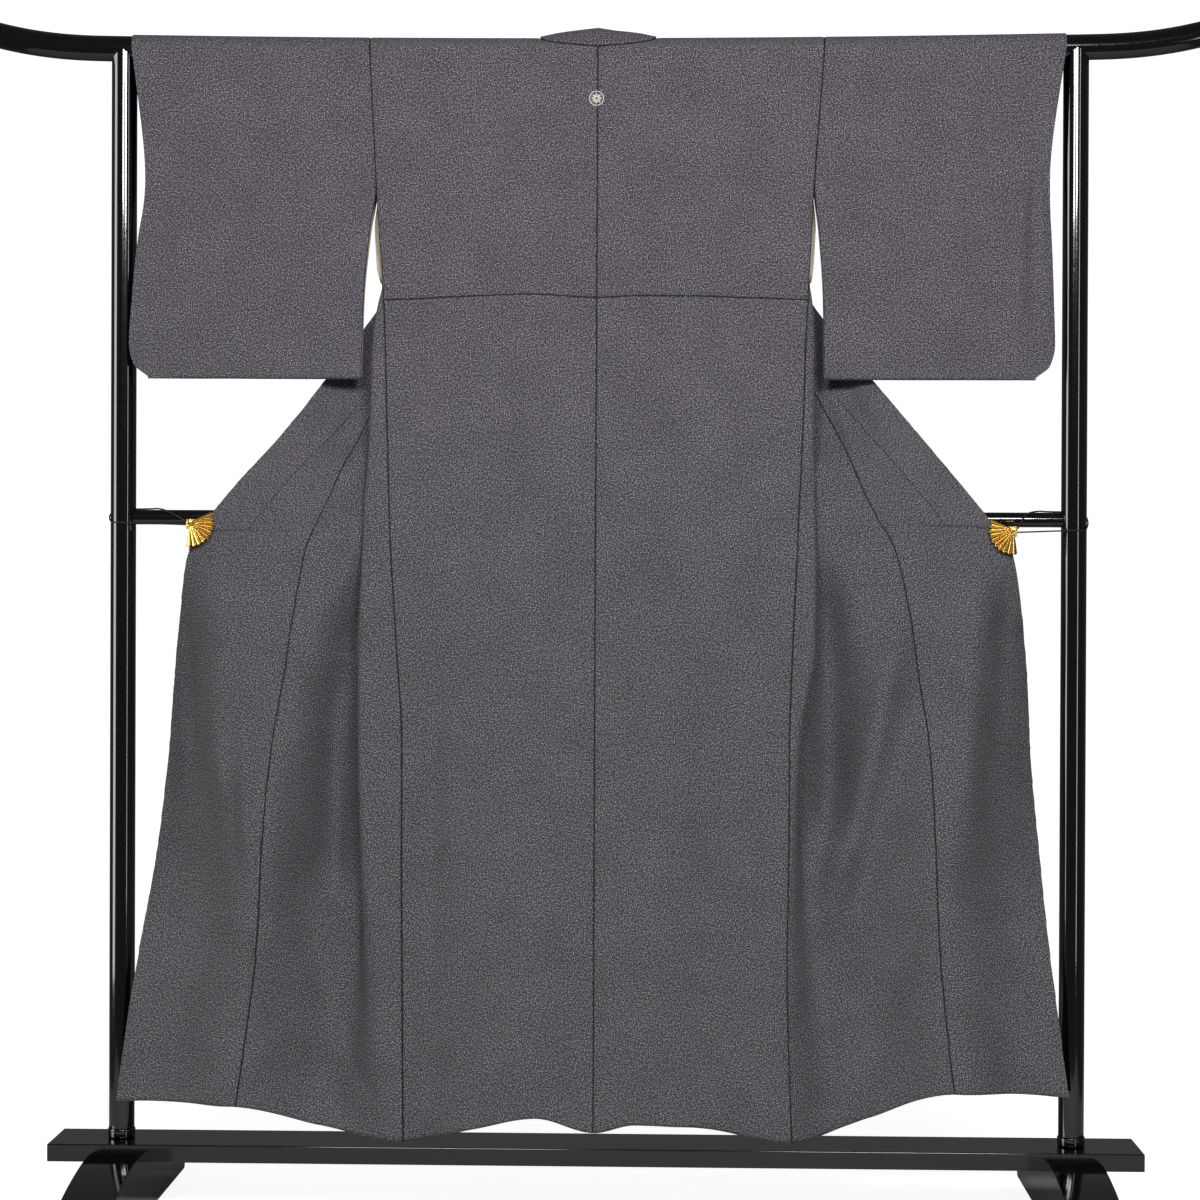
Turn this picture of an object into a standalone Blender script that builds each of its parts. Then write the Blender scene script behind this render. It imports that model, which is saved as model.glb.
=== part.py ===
"""A kimono hung by its shoulders on a lacquered display stand, seen from its back.

Units are metres, +Z is up and the origin is on the floor under the middle of the stand. The outside of
the garment's back faces -Y. The bar runs through both sleeves. Two clips draw the front edges out
sideways, so each front folds back behind its side seam and then spreads to its clip.
"""

import math

import bmesh
import bpy
import numpy as np
from mathutils import Matrix, Vector

MM = 0.001
GAP = 0.3 * MM

# The cloth. Widths are those of the sewn panels.
CLOTH_T = 1.3 * MM
LINING_T = 1.0 * MM
OVER_COLLAR_T = 1.0 * MM
OVER_COLLAR_OUT = 2.3 * MM  # between the middles of the collar's wall and the over collar's
FRONT_W = 242 * MM
COLLAR_W = 55 * MM
COLLAR_SPREAD = 0.27  # how much wider the collar's band lies below the neck, where it is opened out
OVERLAP_POINT_W = 3 * MM
FOLD_ROOM = 0.33 * MM  # on each side of the overlap's seam, which runs along the crest of a fold
NECK_HALF = 82 * MM
SLEEVE_SEAM_Z = 1468 * MM

# Rows of cloth down a front, named by their height where the hem is at NOMINAL_HEM, in millimetres.
TOP = 1640
NOMINAL_HEM = 150
LEVELS = (
    (1640, 1610, 1585, 1560, 1535, 1512, 1492, 1472, 1445, 1410, 1375, 1335)
    + (1310, 1270, 1200, 1120, 1040)
    + (967, 964, 900, 820, 720, 620, 500, 380, 260, NOMINAL_HEM)
)
FRONT_ONLY = (1610, 1585, 1560, 1535, 1512, 1492, 1445)  # rows that the back does without
OVER_COLLAR_END = 1375
OVERLAP_TOP = 1270
COLLAR_END = 967
LINING_TOP = 1585
LINING_END = 1335
BAR_ANGLES = (12, 36, 60, 84, 108, 132, 156, 180)  # the rows of cloth over the bar, level at the back being 0
SLEEVE_ROWS = (1655, 1600, 1530, 1468, 1400, 1330, 1270, 1225, 1205, 1193)
SLEEVE_LOWEST = 1190.5  # the middle of the sleeve's turned bottom edge

# Columns of cloth across each piece.
BODY_COLUMNS = 13
OVERLAP_COLUMNS = 6
COLLAR_COLUMNS = 8
SLEEVE_CROSS_COLUMNS = 8
LINING_CROSS_COLUMNS = 6

# The stand.
BAR_R = 18 * MM
BAR_HALF = 920 * MM
BAR_Z = 1655 * MM
BAR_BOW = 13.5 * MM  # rise at 1 m from the middle, as the garment's weight bows the bar
SWEEP_FROM = 700 * MM
SWEEP_RISE = 35 * MM
POST_X = 675 * MM
POST_R = 18 * MM
RING_R = 19.5 * MM
RING_H = 14 * MM
MID_BAR_R = 10.5 * MM
MID_BAR_Z = 994 * MM
PLANK_HALF = 770 * MM
PLANK_DEPTH = 106 * MM
PLANK_Z = (84 * MM, 109 * MM)
FOOT_W = 74 * MM
FOOT_HALF = 290 * MM
FOOT_LIP = 9 * MM
TOE_Z = 58 * MM
TOE_R = 30 * MM
FOOT_BEVEL = 4 * MM
SADDLE_HALF = 24 * MM

# The clips and the elastic cords that hold them.
FAN_R = 34 * MM
FAN_T = 0.9 * MM
FAN_PLEATS = 10
FAN_PLEAT_DEPTH = 1.3 * MM
KNOB_R = 5 * MM
KNOB_HALF_T = 2.4 * MM
JAW_T = 1.2 * MM
JAW_GAP = 2 * MM
BOSS_H = 5 * MM
ELASTIC_R = 1.1 * MM
CLIP_Z = {-1: 986 * MM, 1: 979 * MM}
PIVOT_OUT = 8 * MM  # the pivot's place past the cloth's edge
JAW_BACK = 22 * MM  # the jaws' reach over the cloth from the pivot
JAW_OUT = 5 * MM  # and past its edge
JAW_LOW = 9 * MM
JAW_HIGH = 5 * MM
FAN_FIRST = 28  # the fan's outer rib above level, in degrees
FAN_SPREAD = 126
# The elastic's way back from the post over the mid bar, in millimetres: distance from the middle, place
# along Y and height above its highest stretch.
ELASTIC_WAY = ((650, 11.5, 0), (637, 4, 0), (622, -6, 0), (606, -14, -5))

# Each front in plan, one row for a height. Every number is in millimetres.
# seam: the side seam's distance from the middle; free: how far the front's edge stands out past it
# strip: from the side seam to the fold beside it; turn: the cloth in each turn of the fold
# edge: the outermost edge's distance from the middle; band: from the overlap's seam to that edge
COLUMNS = ("z", "seam", "free", "strip", "turn", "edge", "band")
FRONTS = {
    -1: (
        (1677, 324, 0, -22, 30, 27, 56),
        (1620, 321, 0, -24, 34, 24, 57),
        (1468, 313, 0, -24, 34, 176, 69),
        (1400, 309, 8, -22, 30, 230, 70),
        (1350, 305, 8, -19, 26, 270, 70),
        (1310, 302, 0, 4, 22, 303, 72),
        (1250, 299, 0, 17, 22, 347, 80),
        (1130, 295, 0, 24, 22, 433, 103),
        (1000, 290, 0, 36, 22, 544, 155),
        (950, 288, 0, 40, 24, 577, 166),
        (810, 279, 0, 54, 28, 603, 170),
        (670, 271, 0, 62, 34, 616, 162),
        (530, 271, 0, 58, 50, 629, 165),
        (380, 270, 0, 52, 80, 648, 175),
        (110, 268, 0, 40, 110, 683, 176),
    ),
    1: (
        (1677, 321, 0, -22, 30, 24, 56),
        (1620, 317, 0, -24, 34, 20, 57),
        (1468, 306, 0, -24, 34, 168, 69),
        (1400, 303, 6, -22, 30, 230, 70),
        (1350, 300, 6, -18, 26, 272, 70),
        (1310, 298, 0, 4, 22, 302, 72),
        (1250, 295, 0, 11, 22, 345, 78),
        (1130, 291, 0, 15, 22, 442, 107),
        (1000, 285, 0, 23, 22, 550, 156),
        (950, 283, 0, 26, 24, 585, 163),
        (810, 277, 0, 31, 28, 611, 161),
        (670, 273, 0, 14, 45, 622, 151),
        (530, 273, 0, 10, 70, 632, 155),
        (380, 271, 0, 10, 90, 643, 159),
        (110, 279, 0, 10, 110, 676, 163),
    ),
}

# How far back or forward the cloth hangs, in millimetres along Y.
DEPTH_COLUMNS = ("z", "back", "front", "edge")
DEPTHS = (
    (1677, -19, 1, 0),
    (1468, -20, -5, 0),
    (1400, -21, -12, 0),
    (1350, -21, -19, 0),
    (1310, -22, -22, 0),
    (1250, -25, -25, 0),
    (1130, -34, -34, -10),
    (1000, -44, -44, -18),
    (800, -47, -47, -22),
    (500, -47, -47, -27),
    (300, -45, -45, -36),
    (110, -41, -41, -44),
)

# The hem's height along the whole garment, in millimetres, from the left front edge to the right one.
HEM_COLUMNS = ("x", "z")
HEM = (
    (-690, 168),
    (-512, 169),
    (-389, 134),
    (-268, 114),
    (-170, 134),
    (-84, 151),
    (0, 130),
    (60, 142),
    (130, 139),
    (216, 126),
    (278, 117),
    (392, 150),
    (510, 194),
    (690, 183),
)

# Soft folds in millimetres: across is measured from the middle on the back, and along the cloth from the
# side seam on a front, at the fold's upper and lower end. A negative depth comes forward.
FOLD_COLUMNS = ("part", "top_z", "low_z", "top_across", "low_across", "half", "depth")
FOLDS = (
    ("back", 620, 60, -112, -112, 75, -13),
    ("back", 560, 60, 75, 75, 60, -9),
    ("back", 860, 110, -232, -236, 26, 11),
    ("back", 900, 150, 150, 168, 34, 8),
    ("left", 1390, 1120, 372, 246, 70, 32),
    ("left", 965, 520, 150, 158, 34, 40),
    ("left", 940, 420, 226, 236, 40, -14),
    ("left", 760, 60, 262, 244, 72, -55),
    ("right", 1390, 1120, 358, 220, 62, 38),
    ("right", 965, 600, 135, 100, 30, 40),
    ("right", 900, 480, 232, 108, 24, -14),
    ("right", 760, 60, 262, 244, 72, -52),
)

# Below its clip the outer edge of each front swings back, from a soft ridge outwards.
# from_edge: the ridge's distance from the edge along the cloth; back: how far the edge swings back
SWING_COLUMNS = ("z", "from_edge", "back")
SWINGS = (
    (965, 45, 0),
    (930, 55, 12),
    (880, 68, 45),
    (810, 85, 78),
    (670, 104, 88),
    (530, 140, 62),
    (380, 160, 20),
    (300, 165, 4),
    (110, 168, 0),
)

# Each sleeve's outline in millimetres from the middle: its body edge and its wrist edge at a height.
SLEEVE_COLUMNS = ("z", "inner", "outer")
SLEEVES = {
    -1: (
        (1677, 324, 664),
        (1468, 313, 642),
        (1396, 322, 651),
        (1303, 330, 659),
        (1239, 332, 663),
        (1210, 333, 656),
        (1193, 333, 636),
    ),
    1: (
        (1677, 321, 662),
        (1468, 306, 637),
        (1396, 313, 640),
        (1303, 319, 643),
        (1239, 320, 645),
        (1210, 320, 638),
        (1193, 320, 618),
    ),
}
SLEEVE_SWING = {-1: 22 * MM, 1: 16 * MM}  # how far the wrist edge hangs forward at the bottom
INNER_SWING = 14 * MM
SLEEVE_HALF_GAP = 5 * MM  # half the room between the sleeve's two layers, from NARROW_Z down
NARROW_Z = 1250 * MM
BOWED_FROM = 1500 * MM  # above it the rows follow the bar's bow more and more
SWING_FROM = 1518 * MM
SWING_OVER = 190 * MM
SHUT_OVER = 60 * MM  # the wrist edges close within this length below the open cuff

SIDES = {"left": -1, "right": 1}


def ramp(t):
    """0 up to t = 0, 1 from t = 1, and smooth between."""
    t = np.clip(t, 0.0, 1.0)
    return t * t * (3 - 2 * t)


def curve_through(rows, column, at, columns):
    """A smooth curve through one column of a table, with no overshoot, read at places in metres."""
    table = np.array(sorted(rows), float) * MM
    x, v = table[:, 0], table[:, columns.index(column)]
    step = np.diff(v) / np.diff(x)
    slope = np.concatenate([step[:1], np.zeros(len(x) - 2), step[-1:]])
    rising = step[:-1] * step[1:] > 0
    slope[1:-1][rising] = (2 * step[:-1] * step[1:])[rising] / (step[:-1] + step[1:])[rising]
    at = np.clip(at, x[0], x[-1])
    i = np.clip(np.searchsorted(x, at) - 1, 0, len(x) - 2)
    h = x[i + 1] - x[i]
    t = (at - x[i]) / h
    ease = t * t * (3 - 2 * t)
    start = slope[i] * h * t * (1 - t) ** 2
    finish = slope[i + 1] * h * t * t * (1 - t)
    return v[i] * (1 - ease) + v[i + 1] * ease + start - finish


def depth_at(column, z):
    return curve_through(DEPTHS, column, z, DEPTH_COLUMNS)


def hem_at(x):
    return curve_through(HEM, "z", x, HEM_COLUMNS)


def bar_axis(x):
    """The height of the top bar's axis: bowed between the posts and swept up past them."""
    x = np.abs(x)
    past = np.clip((x - SWEEP_FROM) / (BAR_HALF - SWEEP_FROM), 0, None)
    return BAR_Z + BAR_BOW * x**2 + SWEEP_RISE * past**2.3


def fold_depth(part, across, z):
    """How far the soft folds of one part move its cloth along Y."""
    moved = np.zeros(np.broadcast(across, z).shape)
    for name, top_z, low_z, top_across, low_across, half, depth in FOLDS:
        if name == part:
            down = (top_z * MM - z) / ((top_z - low_z) * MM)
            middle = (top_across + (low_across - top_across) * down) * MM
            fade = ramp(down * 3) * ramp((1.25 - down) * 4)
            moved = moved + depth * MM * fade * np.exp(-(((across - middle) / (half * MM)) ** 2))
    return moved


class Front:
    """One front's folded section at every height, from the side seam to the outermost edge."""

    STEP = 2 * MM

    def __init__(self, side):
        self.side = side
        self.z = np.arange(0.09, 1.69, 0.01)
        self.s = np.arange(-40 * MM, 430 * MM, self.STEP)
        part = {-1: "left", 1: "right"}[side]
        column = {c: curve_through(FRONTS[side], c, self.z, COLUMNS)[:, None] for c in COLUMNS[1:]}
        start = column["seam"] + column["free"]
        width = FRONT_W + column["band"]
        turn = column["turn"]
        first = column["strip"] - 0.35 * turn
        s = self.s[None, :]
        on_cloth = (s >= 0) & (s <= width)
        near, far = first, width + turn
        for _ in range(30):
            second = (near + far) / 2
            heading = math.pi * (ramp((s - first) / turn) - ramp((s - second) / turn))
            reach = (np.cos(heading) * on_cloth).sum(1, keepdims=True) * self.STEP
            too_far = reach > column["edge"] - start
            near = np.where(too_far, second, near)
            far = np.where(too_far, far, second)
        x = np.cumsum(np.cos(heading), 1) * self.STEP
        y = np.cumsum(np.sin(heading), 1) * self.STEP
        zero = int(round(40 * MM / self.STEP))
        x = start + x - x[:, zero : zero + 1]
        y = depth_at("front", self.z)[:, None] + y
        end = (np.where(s <= width, y, 0)).max(1, keepdims=True)
        wanted = depth_at("edge", self.z)[:, None]
        pull = ramp((1.0 - self.z[:, None]) / 0.2)
        past = np.clip((s - second) / np.maximum(width - second, turn), 0, 1)
        y = y + pull * (wanted - end) * past
        from_edge, back = (curve_through(SWINGS, c, self.z, SWING_COLUMNS)[:, None] for c in SWING_COLUMNS[1:])
        outer = np.clip((s - width + from_edge) / from_edge, 0, 1.2)
        y = y + back * outer**2 / (outer + 0.12)
        self.x = x
        self.y = y + fold_depth(part, s, self.z[:, None])
        self.fold = second

    def at(self, s, z):
        """Points at cloth positions s and heights z."""
        s, z = np.broadcast_arrays(np.asarray(s, float), np.asarray(z, float))
        i = np.clip((z - self.z[0]) / 0.01, 0, len(self.z) - 1.001)
        j = np.clip((s - self.s[0]) / self.STEP, 0, len(self.s) - 1.001)
        i0, j0 = i.astype(int), j.astype(int)
        u, v = i - i0, j - j0

        def mixed(a):
            low = a[i0, j0] * (1 - v) + a[i0, j0 + 1] * v
            high = a[i0 + 1, j0] * (1 - v) + a[i0 + 1, j0 + 1] * v
            return low * (1 - u) + high * u

        return np.stack([self.side * mixed(self.x), mixed(self.y), z], axis=-1)

    def second_turn(self, z):
        return np.interp(z, self.z, self.fold[:, 0])

    def tilt(self, z, s=0.0):
        """The sine of the cloth's turn away from flat at a cloth position."""
        near, past = self.at(s, z), self.at(s + 2 * self.STEP, z)
        return float(abs(past[1] - near[1]) / np.linalg.norm(past - near))


FRONT = {side: Front(side) for side in (-1, 1)}


def over_bar(x, angle):
    """Points round the top bar, from level at the back (0 degrees) over its top (90) to the front (180)."""
    half_step = math.radians(BAR_ANGLES[1] - BAR_ANGLES[0]) / 2
    r = (BAR_R + GAP + CLOTH_T / 2) / math.cos(half_step)
    turn = math.radians(angle)
    x = np.asarray(x, float)
    return np.stack([x, 0 * x - r * math.cos(turn), bar_axis(x) + r * math.sin(turn)], axis=-1)


def neck_x(angle):
    """The neckline's distance from the middle where the cloth lies at an angle round the bar."""
    left = np.clip((BAR_ANGLES[3] - angle) / (BAR_ANGLES[3] - BAR_ANGLES[0]), 0, 1)
    return NECK_HALF * (1 - left**4)


def share_down(level):
    """How far down a front a row lies: 0 at the bar and 1 at the hem."""
    return (TOP - level) / (TOP - NOMINAL_HEM)


def levels_between(top, low):
    return [level for level in LEVELS if low <= level <= top]


def back_row(side, columns, level):
    """One row of the back, from the middle seam to the side seam."""
    across = np.linspace(0, 1, columns)
    x = side * seam_x(side, 0.12) * across
    z = TOP * MM + (hem_at(x) - TOP * MM) * share_down(level)
    x = side * (GAP / 2 + (seam_x(side, z) - GAP) * across)
    return np.stack([x, depth_at("back", z) + fold_depth("back", x, z), z], axis=-1)


def seam_x(side, z):
    return curve_through(FRONTS[side], "seam", z, COLUMNS)


def front_row(side, s, level):
    """One row of a front at cloth positions s, which its overlap and its collar share."""
    front = FRONT[side]
    hem = hem_at(front.at(s, 0.15)[:, 0])
    return front.at(s, TOP * MM + (hem - TOP * MM) * share_down(level))


def level_z(side, s, level):
    return float(front_row(side, np.array([s]), level)[0, 2])


def placed(side, level, start, finish, columns):
    """Cloth positions from start to finish, closer together in the fold's two turns."""
    z = level_z(side, start, level)
    turn = curve_through(FRONTS[side], "turn", z, COLUMNS)
    strip = curve_through(FRONTS[side], "strip", z, COLUMNS)
    s = np.linspace(start, finish, 300)
    weight = np.ones_like(s)
    for middle in (strip + 0.15 * turn, FRONT[side].second_turn(z) + 0.5 * turn):
        weight = weight + 6 * np.exp(-(((s - middle) / (0.6 * turn)) ** 2))
    total = np.concatenate([[0], np.cumsum((weight[1:] + weight[:-1]) / 2)])
    return np.interp(np.linspace(0, total[-1], columns), total, s)


def body_points(side, columns):
    """One long panel: up the back from its hem, over the bar and down the front to the front's hem."""
    back = [level for level in reversed(LEVELS) if level not in FRONT_ONLY]
    rows = [back_row(side, columns, level) for level in back]
    outer = seam_x(side, BAR_Z) - GAP / 2
    for angle in BAR_ANGLES:
        inner = GAP / 2 + neck_x(angle)
        rows.append(over_bar(side * np.linspace(inner, outer, columns), angle))
    for level in LEVELS:
        start = GAP / 2 + CLOTH_T * FRONT[side].tilt(level_z(side, 0, level))
        end_tilt = FRONT[side].tilt(level_z(side, FRONT_W, level), FRONT_W)
        s = placed(side, level, start, FRONT_W - FOLD_ROOM - CLOTH_T * end_tilt, columns)
        rows.append(front_row(side, s[::-1], level))
    return np.array(rows)


def band_at(side, level):
    """The cloth positions of a front's outermost edge and of the collar's seam, at one row."""
    z = level_z(side, FRONT_W, level)
    band = float(curve_through(FRONTS[side], "band", z, COLUMNS))
    span = COLLAR_W * (1 + COLLAR_SPREAD * float(ramp((BAR_Z - z) / 0.1)))
    return FRONT_W + band, max(FRONT_W + band - span, FRONT_W)


def overlap_points(side, columns):
    """The overlap from its hem to its point; above the collar's end its edge is the collar's seam."""
    rows = []
    for level in levels_between(OVERLAP_TOP, 0):
        edge, collar_seam = band_at(side, level)
        outer = collar_seam - GAP / 2 if level >= COLLAR_END else edge
        outer = max(outer, FRONT_W + OVERLAP_POINT_W)
        tilt = FRONT[side].tilt(level_z(side, FRONT_W, level), FRONT_W)
        start = FRONT_W + FOLD_ROOM + 0.6 * CLOTH_T * tilt
        rows.append(front_row(side, np.linspace(start, outer, columns), level))
    return np.array(rows)


def collar_row(side, level, columns):
    """The collar's points at one row of a front, from its seam to its outer edge."""
    edge, seam = band_at(side, level)
    if level <= OVERLAP_TOP:
        seam = max(seam, FRONT_W + OVERLAP_POINT_W)
    start = seam + GAP / 2 + 0.9 * CLOTH_T * FRONT[side].tilt(level_z(side, seam, level), seam)
    return front_row(side, placed(side, level, start, edge, columns), level)


def neck_row(side, angle, columns):
    """The collar's points where it stands round the neck, at one place round the bar."""
    middle = BAR_ANGLES[3]
    lean = float(ramp((angle - BAR_ANGLES[0]) / (middle - BAR_ANGLES[0])))
    neck = side * (neck_x(angle) - 1.5 * GAP * lean)
    seam = Vector(over_bar(neck, angle + 1.8 * (1 - lean)))
    if angle <= middle:
        edge = Vector((neck * (0.7 - 0.25 * lean), 21 * MM, BAR_Z + (30 - 9 * lean) * MM))
        rise = Vector((0, -1.5 * MM * (1 - lean), (14 - 10.25 * lean) * MM))
    else:
        drop = (angle - middle) / (180 - middle)
        edge = Vector((side * (37 - 9 * drop) * MM, 21 * MM, BAR_Z + (21 - 25 * drop) * MM))
        rise = Vector((0, 2 * MM, 4 * MM * (1 - drop)))
    shares = np.linspace(0, 1, columns)
    return np.array([seam.lerp(edge, t) + rise * math.sin(math.pi * t) for t in shares])


def collar_points(columns, end):
    """The collar's length, from the left front's end round the neck to the right front's end."""
    levels = levels_between(TOP, end)
    out = [collar_row(-1, level, columns) for level in reversed(levels)]
    out += [neck_row(-1, angle, columns) for angle in reversed(BAR_ANGLES)]
    out += [neck_row(1, angle, columns) for angle in BAR_ANGLES[1:]]
    out += [collar_row(1, level, columns) for level in levels]
    return np.array(out)


def moved_out(points, distance):
    """The same grid moved along its own normals."""
    along = np.gradient(points, axis=0)
    across = np.gradient(points, axis=1)
    normal = np.cross(along, across)
    normal /= np.maximum(np.linalg.norm(normal, axis=2, keepdims=True), 1e-9)
    return points + normal * distance


def sleeve_points(side, columns):
    """Closed rings of cloth: down the back, round the bottom, up the front and over the bar."""
    layers = [(z, -1, 0) for z in SLEEVE_ROWS] + [(SLEEVE_LOWEST, 0, 0)]
    layers += [(z, 1, 0) for z in reversed(SLEEVE_ROWS)]
    layers += [(0, 0, angle) for angle in reversed(BAR_ANGLES[:-1])]
    across = np.linspace(0, 1, columns)
    out = []
    for level, layer, angle in layers:
        level = level * MM if level else BAR_Z
        inner = curve_through(SLEEVES[side], "inner", level, SLEEVE_COLUMNS) + GAP / 2
        if level > SLEEVE_SEAM_Z:
            inner = seam_x(side, level) + GAP / 2
        outer = curve_through(SLEEVES[side], "outer", level, SLEEVE_COLUMNS)
        x = side * (inner + (outer - inner) * across)
        if angle:
            out.append(over_bar(x, angle))
            continue
        z = level + (bar_axis(x) - BAR_Z) * ramp((level - BOWED_FROM) / (BAR_Z - BOWED_FROM))
        down = ramp((BAR_Z - level) / (BAR_Z - NARROW_Z))
        half = over_bar(0, 180)[1] * (1 - down) + SLEEVE_HALF_GAP * down
        shut = ramp((SLEEVE_SEAM_Z - level) / SHUT_OVER) * ramp((across - 0.8) / 0.2)
        half = half * (1 - shut) + (CLOTH_T / 2 + GAP) * shut
        swing = INNER_SWING + (SLEEVE_SWING[side] - INNER_SWING) * across
        middle = -swing * ramp((SWING_FROM - level) / SWING_OVER)
        out.append(np.stack([x, middle + layer * half, z], axis=-1))
    return np.array(out)


def lining_points(body, side, columns):
    """The lining inside the part of the front that shows through the side opening, made from its panel."""
    first = len(LEVELS) - len(FRONT_ONLY) + len(BAR_ANGLES)
    rows = [first + LEVELS.index(level) for level in levels_between(LINING_TOP, LINING_END)]
    panel = moved_out(body, side * (CLOTH_T / 2 + GAP + LINING_T / 2))
    return panel[rows, -columns:]


def material(name, colour, roughness, metallic=0.0):
    m = bpy.data.materials.new(name)
    m.use_nodes = True
    shader = m.node_tree.nodes["Principled BSDF"]
    shader.inputs["Base Color"].default_value = (*colour, 1)
    shader.inputs["Roughness"].default_value = roughness
    shader.inputs["Metallic"].default_value = metallic
    m.diffuse_color = (*colour, 1)
    return m


def add_mesh(name, vertices, faces, look, smooth=True):
    mesh = bpy.data.meshes.new(name)
    mesh.from_pydata([tuple(v) for v in vertices], [], faces)
    mesh.update()
    mesh.materials.append(look)
    for polygon in mesh.polygons:
        polygon.use_smooth = smooth
    thing = bpy.data.objects.new(name, mesh)
    PARTS.objects.link(thing)
    return thing


def grid_faces(rows, columns, closed):
    faces = []
    for i in range(rows if closed else rows - 1):
        k = (i + 1) % rows
        for j in range(columns - 1):
            faces.append((i * columns + j, k * columns + j, k * columns + j + 1, i * columns + j + 1))
    return faces


def cloth(name, points, look, thickness=CLOTH_T, closed=False):
    """A sheet through a grid of points, with its wall half on each side of them."""
    rows, columns = points.shape[:2]
    sheet = add_mesh(name, points.reshape(-1, 3), grid_faces(rows, columns, closed), look)
    wall = sheet.modifiers.new("wall", "SOLIDIFY")
    wall.thickness = thickness
    wall.offset = 0
    wall.use_quality_normals = True
    return sheet


def bevel(thing, width, segments=2):
    edge = thing.modifiers.new("edge", "BEVEL")
    edge.width = width
    edge.segments = segments
    edge.limit_method = "ANGLE"
    edge.angle_limit = math.radians(40)


def linked(thing, collection):
    for c in thing.users_collection:
        c.objects.unlink(thing)
    collection.objects.link(thing)
    return thing


def cylinder(name, radius, start, finish, look=None, sides=32):
    """A cylinder between two points, which is a cutter when it has no material."""
    start, finish = Vector(start), Vector(finish)
    bpy.ops.mesh.primitive_cylinder_add(vertices=sides, radius=radius, depth=(finish - start).length)
    thing = bpy.context.object
    thing.name = name
    turn = (finish - start).to_track_quat("Z", "Y")
    thing.matrix_world = Matrix.Translation((start + finish) / 2) @ turn.to_matrix().to_4x4()
    if look:
        thing.data.materials.append(look)
        return linked(thing, PARTS)
    thing.hide_render = True
    thing.display_type = "WIRE"
    return linked(thing, CUTTERS)


def cut(thing, cutter):
    hole = thing.modifiers.new("cut", "BOOLEAN")
    hole.operation = "DIFFERENCE"
    hole.object = cutter


def tube(name, route, radius, look, detail=2):
    data = bpy.data.curves.new(name, "CURVE")
    data.dimensions = "3D"
    data.bevel_depth = radius
    data.bevel_resolution = detail
    data.use_fill_caps = True
    spline = data.splines.new("POLY")
    spline.points.add(len(route) - 1)
    for point, place in zip(spline.points, route):
        point.co = (*place, 1)
    data.materials.append(look)
    thing = bpy.data.objects.new(name, data)
    PARTS.objects.link(thing)
    return thing


def build_garment(silk, lining):
    for name, side in SIDES.items():
        body = body_points(side, BODY_COLUMNS)
        cloth(f"body_{name}", body, silk)
        cloth(f"overlap_{name}", overlap_points(side, OVERLAP_COLUMNS), silk)
        cloth(f"sleeve_{name}", sleeve_points(side, SLEEVE_CROSS_COLUMNS), silk, closed=True)
        cloth(f"lining_{name}", lining_points(body, side, LINING_CROSS_COLUMNS), lining, LINING_T)
    cloth("collar", collar_points(COLLAR_COLUMNS, COLLAR_END), silk)
    over = moved_out(collar_points(COLLAR_COLUMNS, OVER_COLLAR_END), OVER_COLLAR_OUT)
    cloth("over_collar", over, silk, OVER_COLLAR_T)


def build_stand(lacquer):
    xs = [*np.linspace(-BAR_HALF, -SWEEP_FROM, 7), *np.linspace(-0.64, 0.64, 9)]
    xs += list(np.linspace(SWEEP_FROM, BAR_HALF, 7))
    route = [(x, 0, float(bar_axis(x))) for x in xs]
    bar = tube("top_bar", route, BAR_R, lacquer, detail=6)
    weld = bar.modifiers.new("weld", "WELD")
    weld.merge_threshold = 0.0001
    bevel(bar, 5 * MM)
    low, high = PLANK_Z
    for name, side in SIDES.items():
        x = side * POST_X
        top = float(bar_axis(POST_X))
        saddle = cylinder(
            f"saddle_{name}",
            BAR_R + GAP,
            (x - SADDLE_HALF, 0, float(bar_axis(x - SADDLE_HALF))),
            (x + SADDLE_HALF, 0, float(bar_axis(x + SADDLE_HALF))),
            sides=48,
        )
        post_z = high + RING_H + 2 * GAP
        post = cylinder(f"post_{name}", POST_R, (x, 0, post_z), (x, 0, top), lacquer)
        cut(post, saddle)
        ring_ends = (x, 0, high + GAP), (x, 0, post_z - GAP)
        ring = cylinder(f"post_ring_{name}", RING_R, *ring_ends, lacquer)
        bevel(ring, 2 * MM, 1)
        socket_ends = (x, 0, MID_BAR_Z - 0.1), (x, 0, MID_BAR_Z + 0.1)
        cylinder(f"socket_{name}", POST_R + GAP, *socket_ends, sides=48)
        foot(f"foot_{name}", x, lacquer)
    ends = POST_X - 5 * MM
    mid = cylinder("mid_bar", MID_BAR_R, (-ends, 0, MID_BAR_Z), (ends, 0, MID_BAR_Z), lacquer, 24)
    for name in SIDES:
        cut(mid, bpy.data.objects[f"socket_{name}"])
    bpy.ops.mesh.primitive_cube_add(size=1)
    plank = linked(bpy.context.object, PARTS)
    plank.name = "base_plank"
    size = Matrix.Diagonal((2 * PLANK_HALF, PLANK_DEPTH, high - low, 1))
    plank.data.transform(size)
    plank.location = (0, 0, (low + high) / 2)
    plank.data.materials.append(lacquer)
    bevel(plank, 2 * MM)


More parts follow.
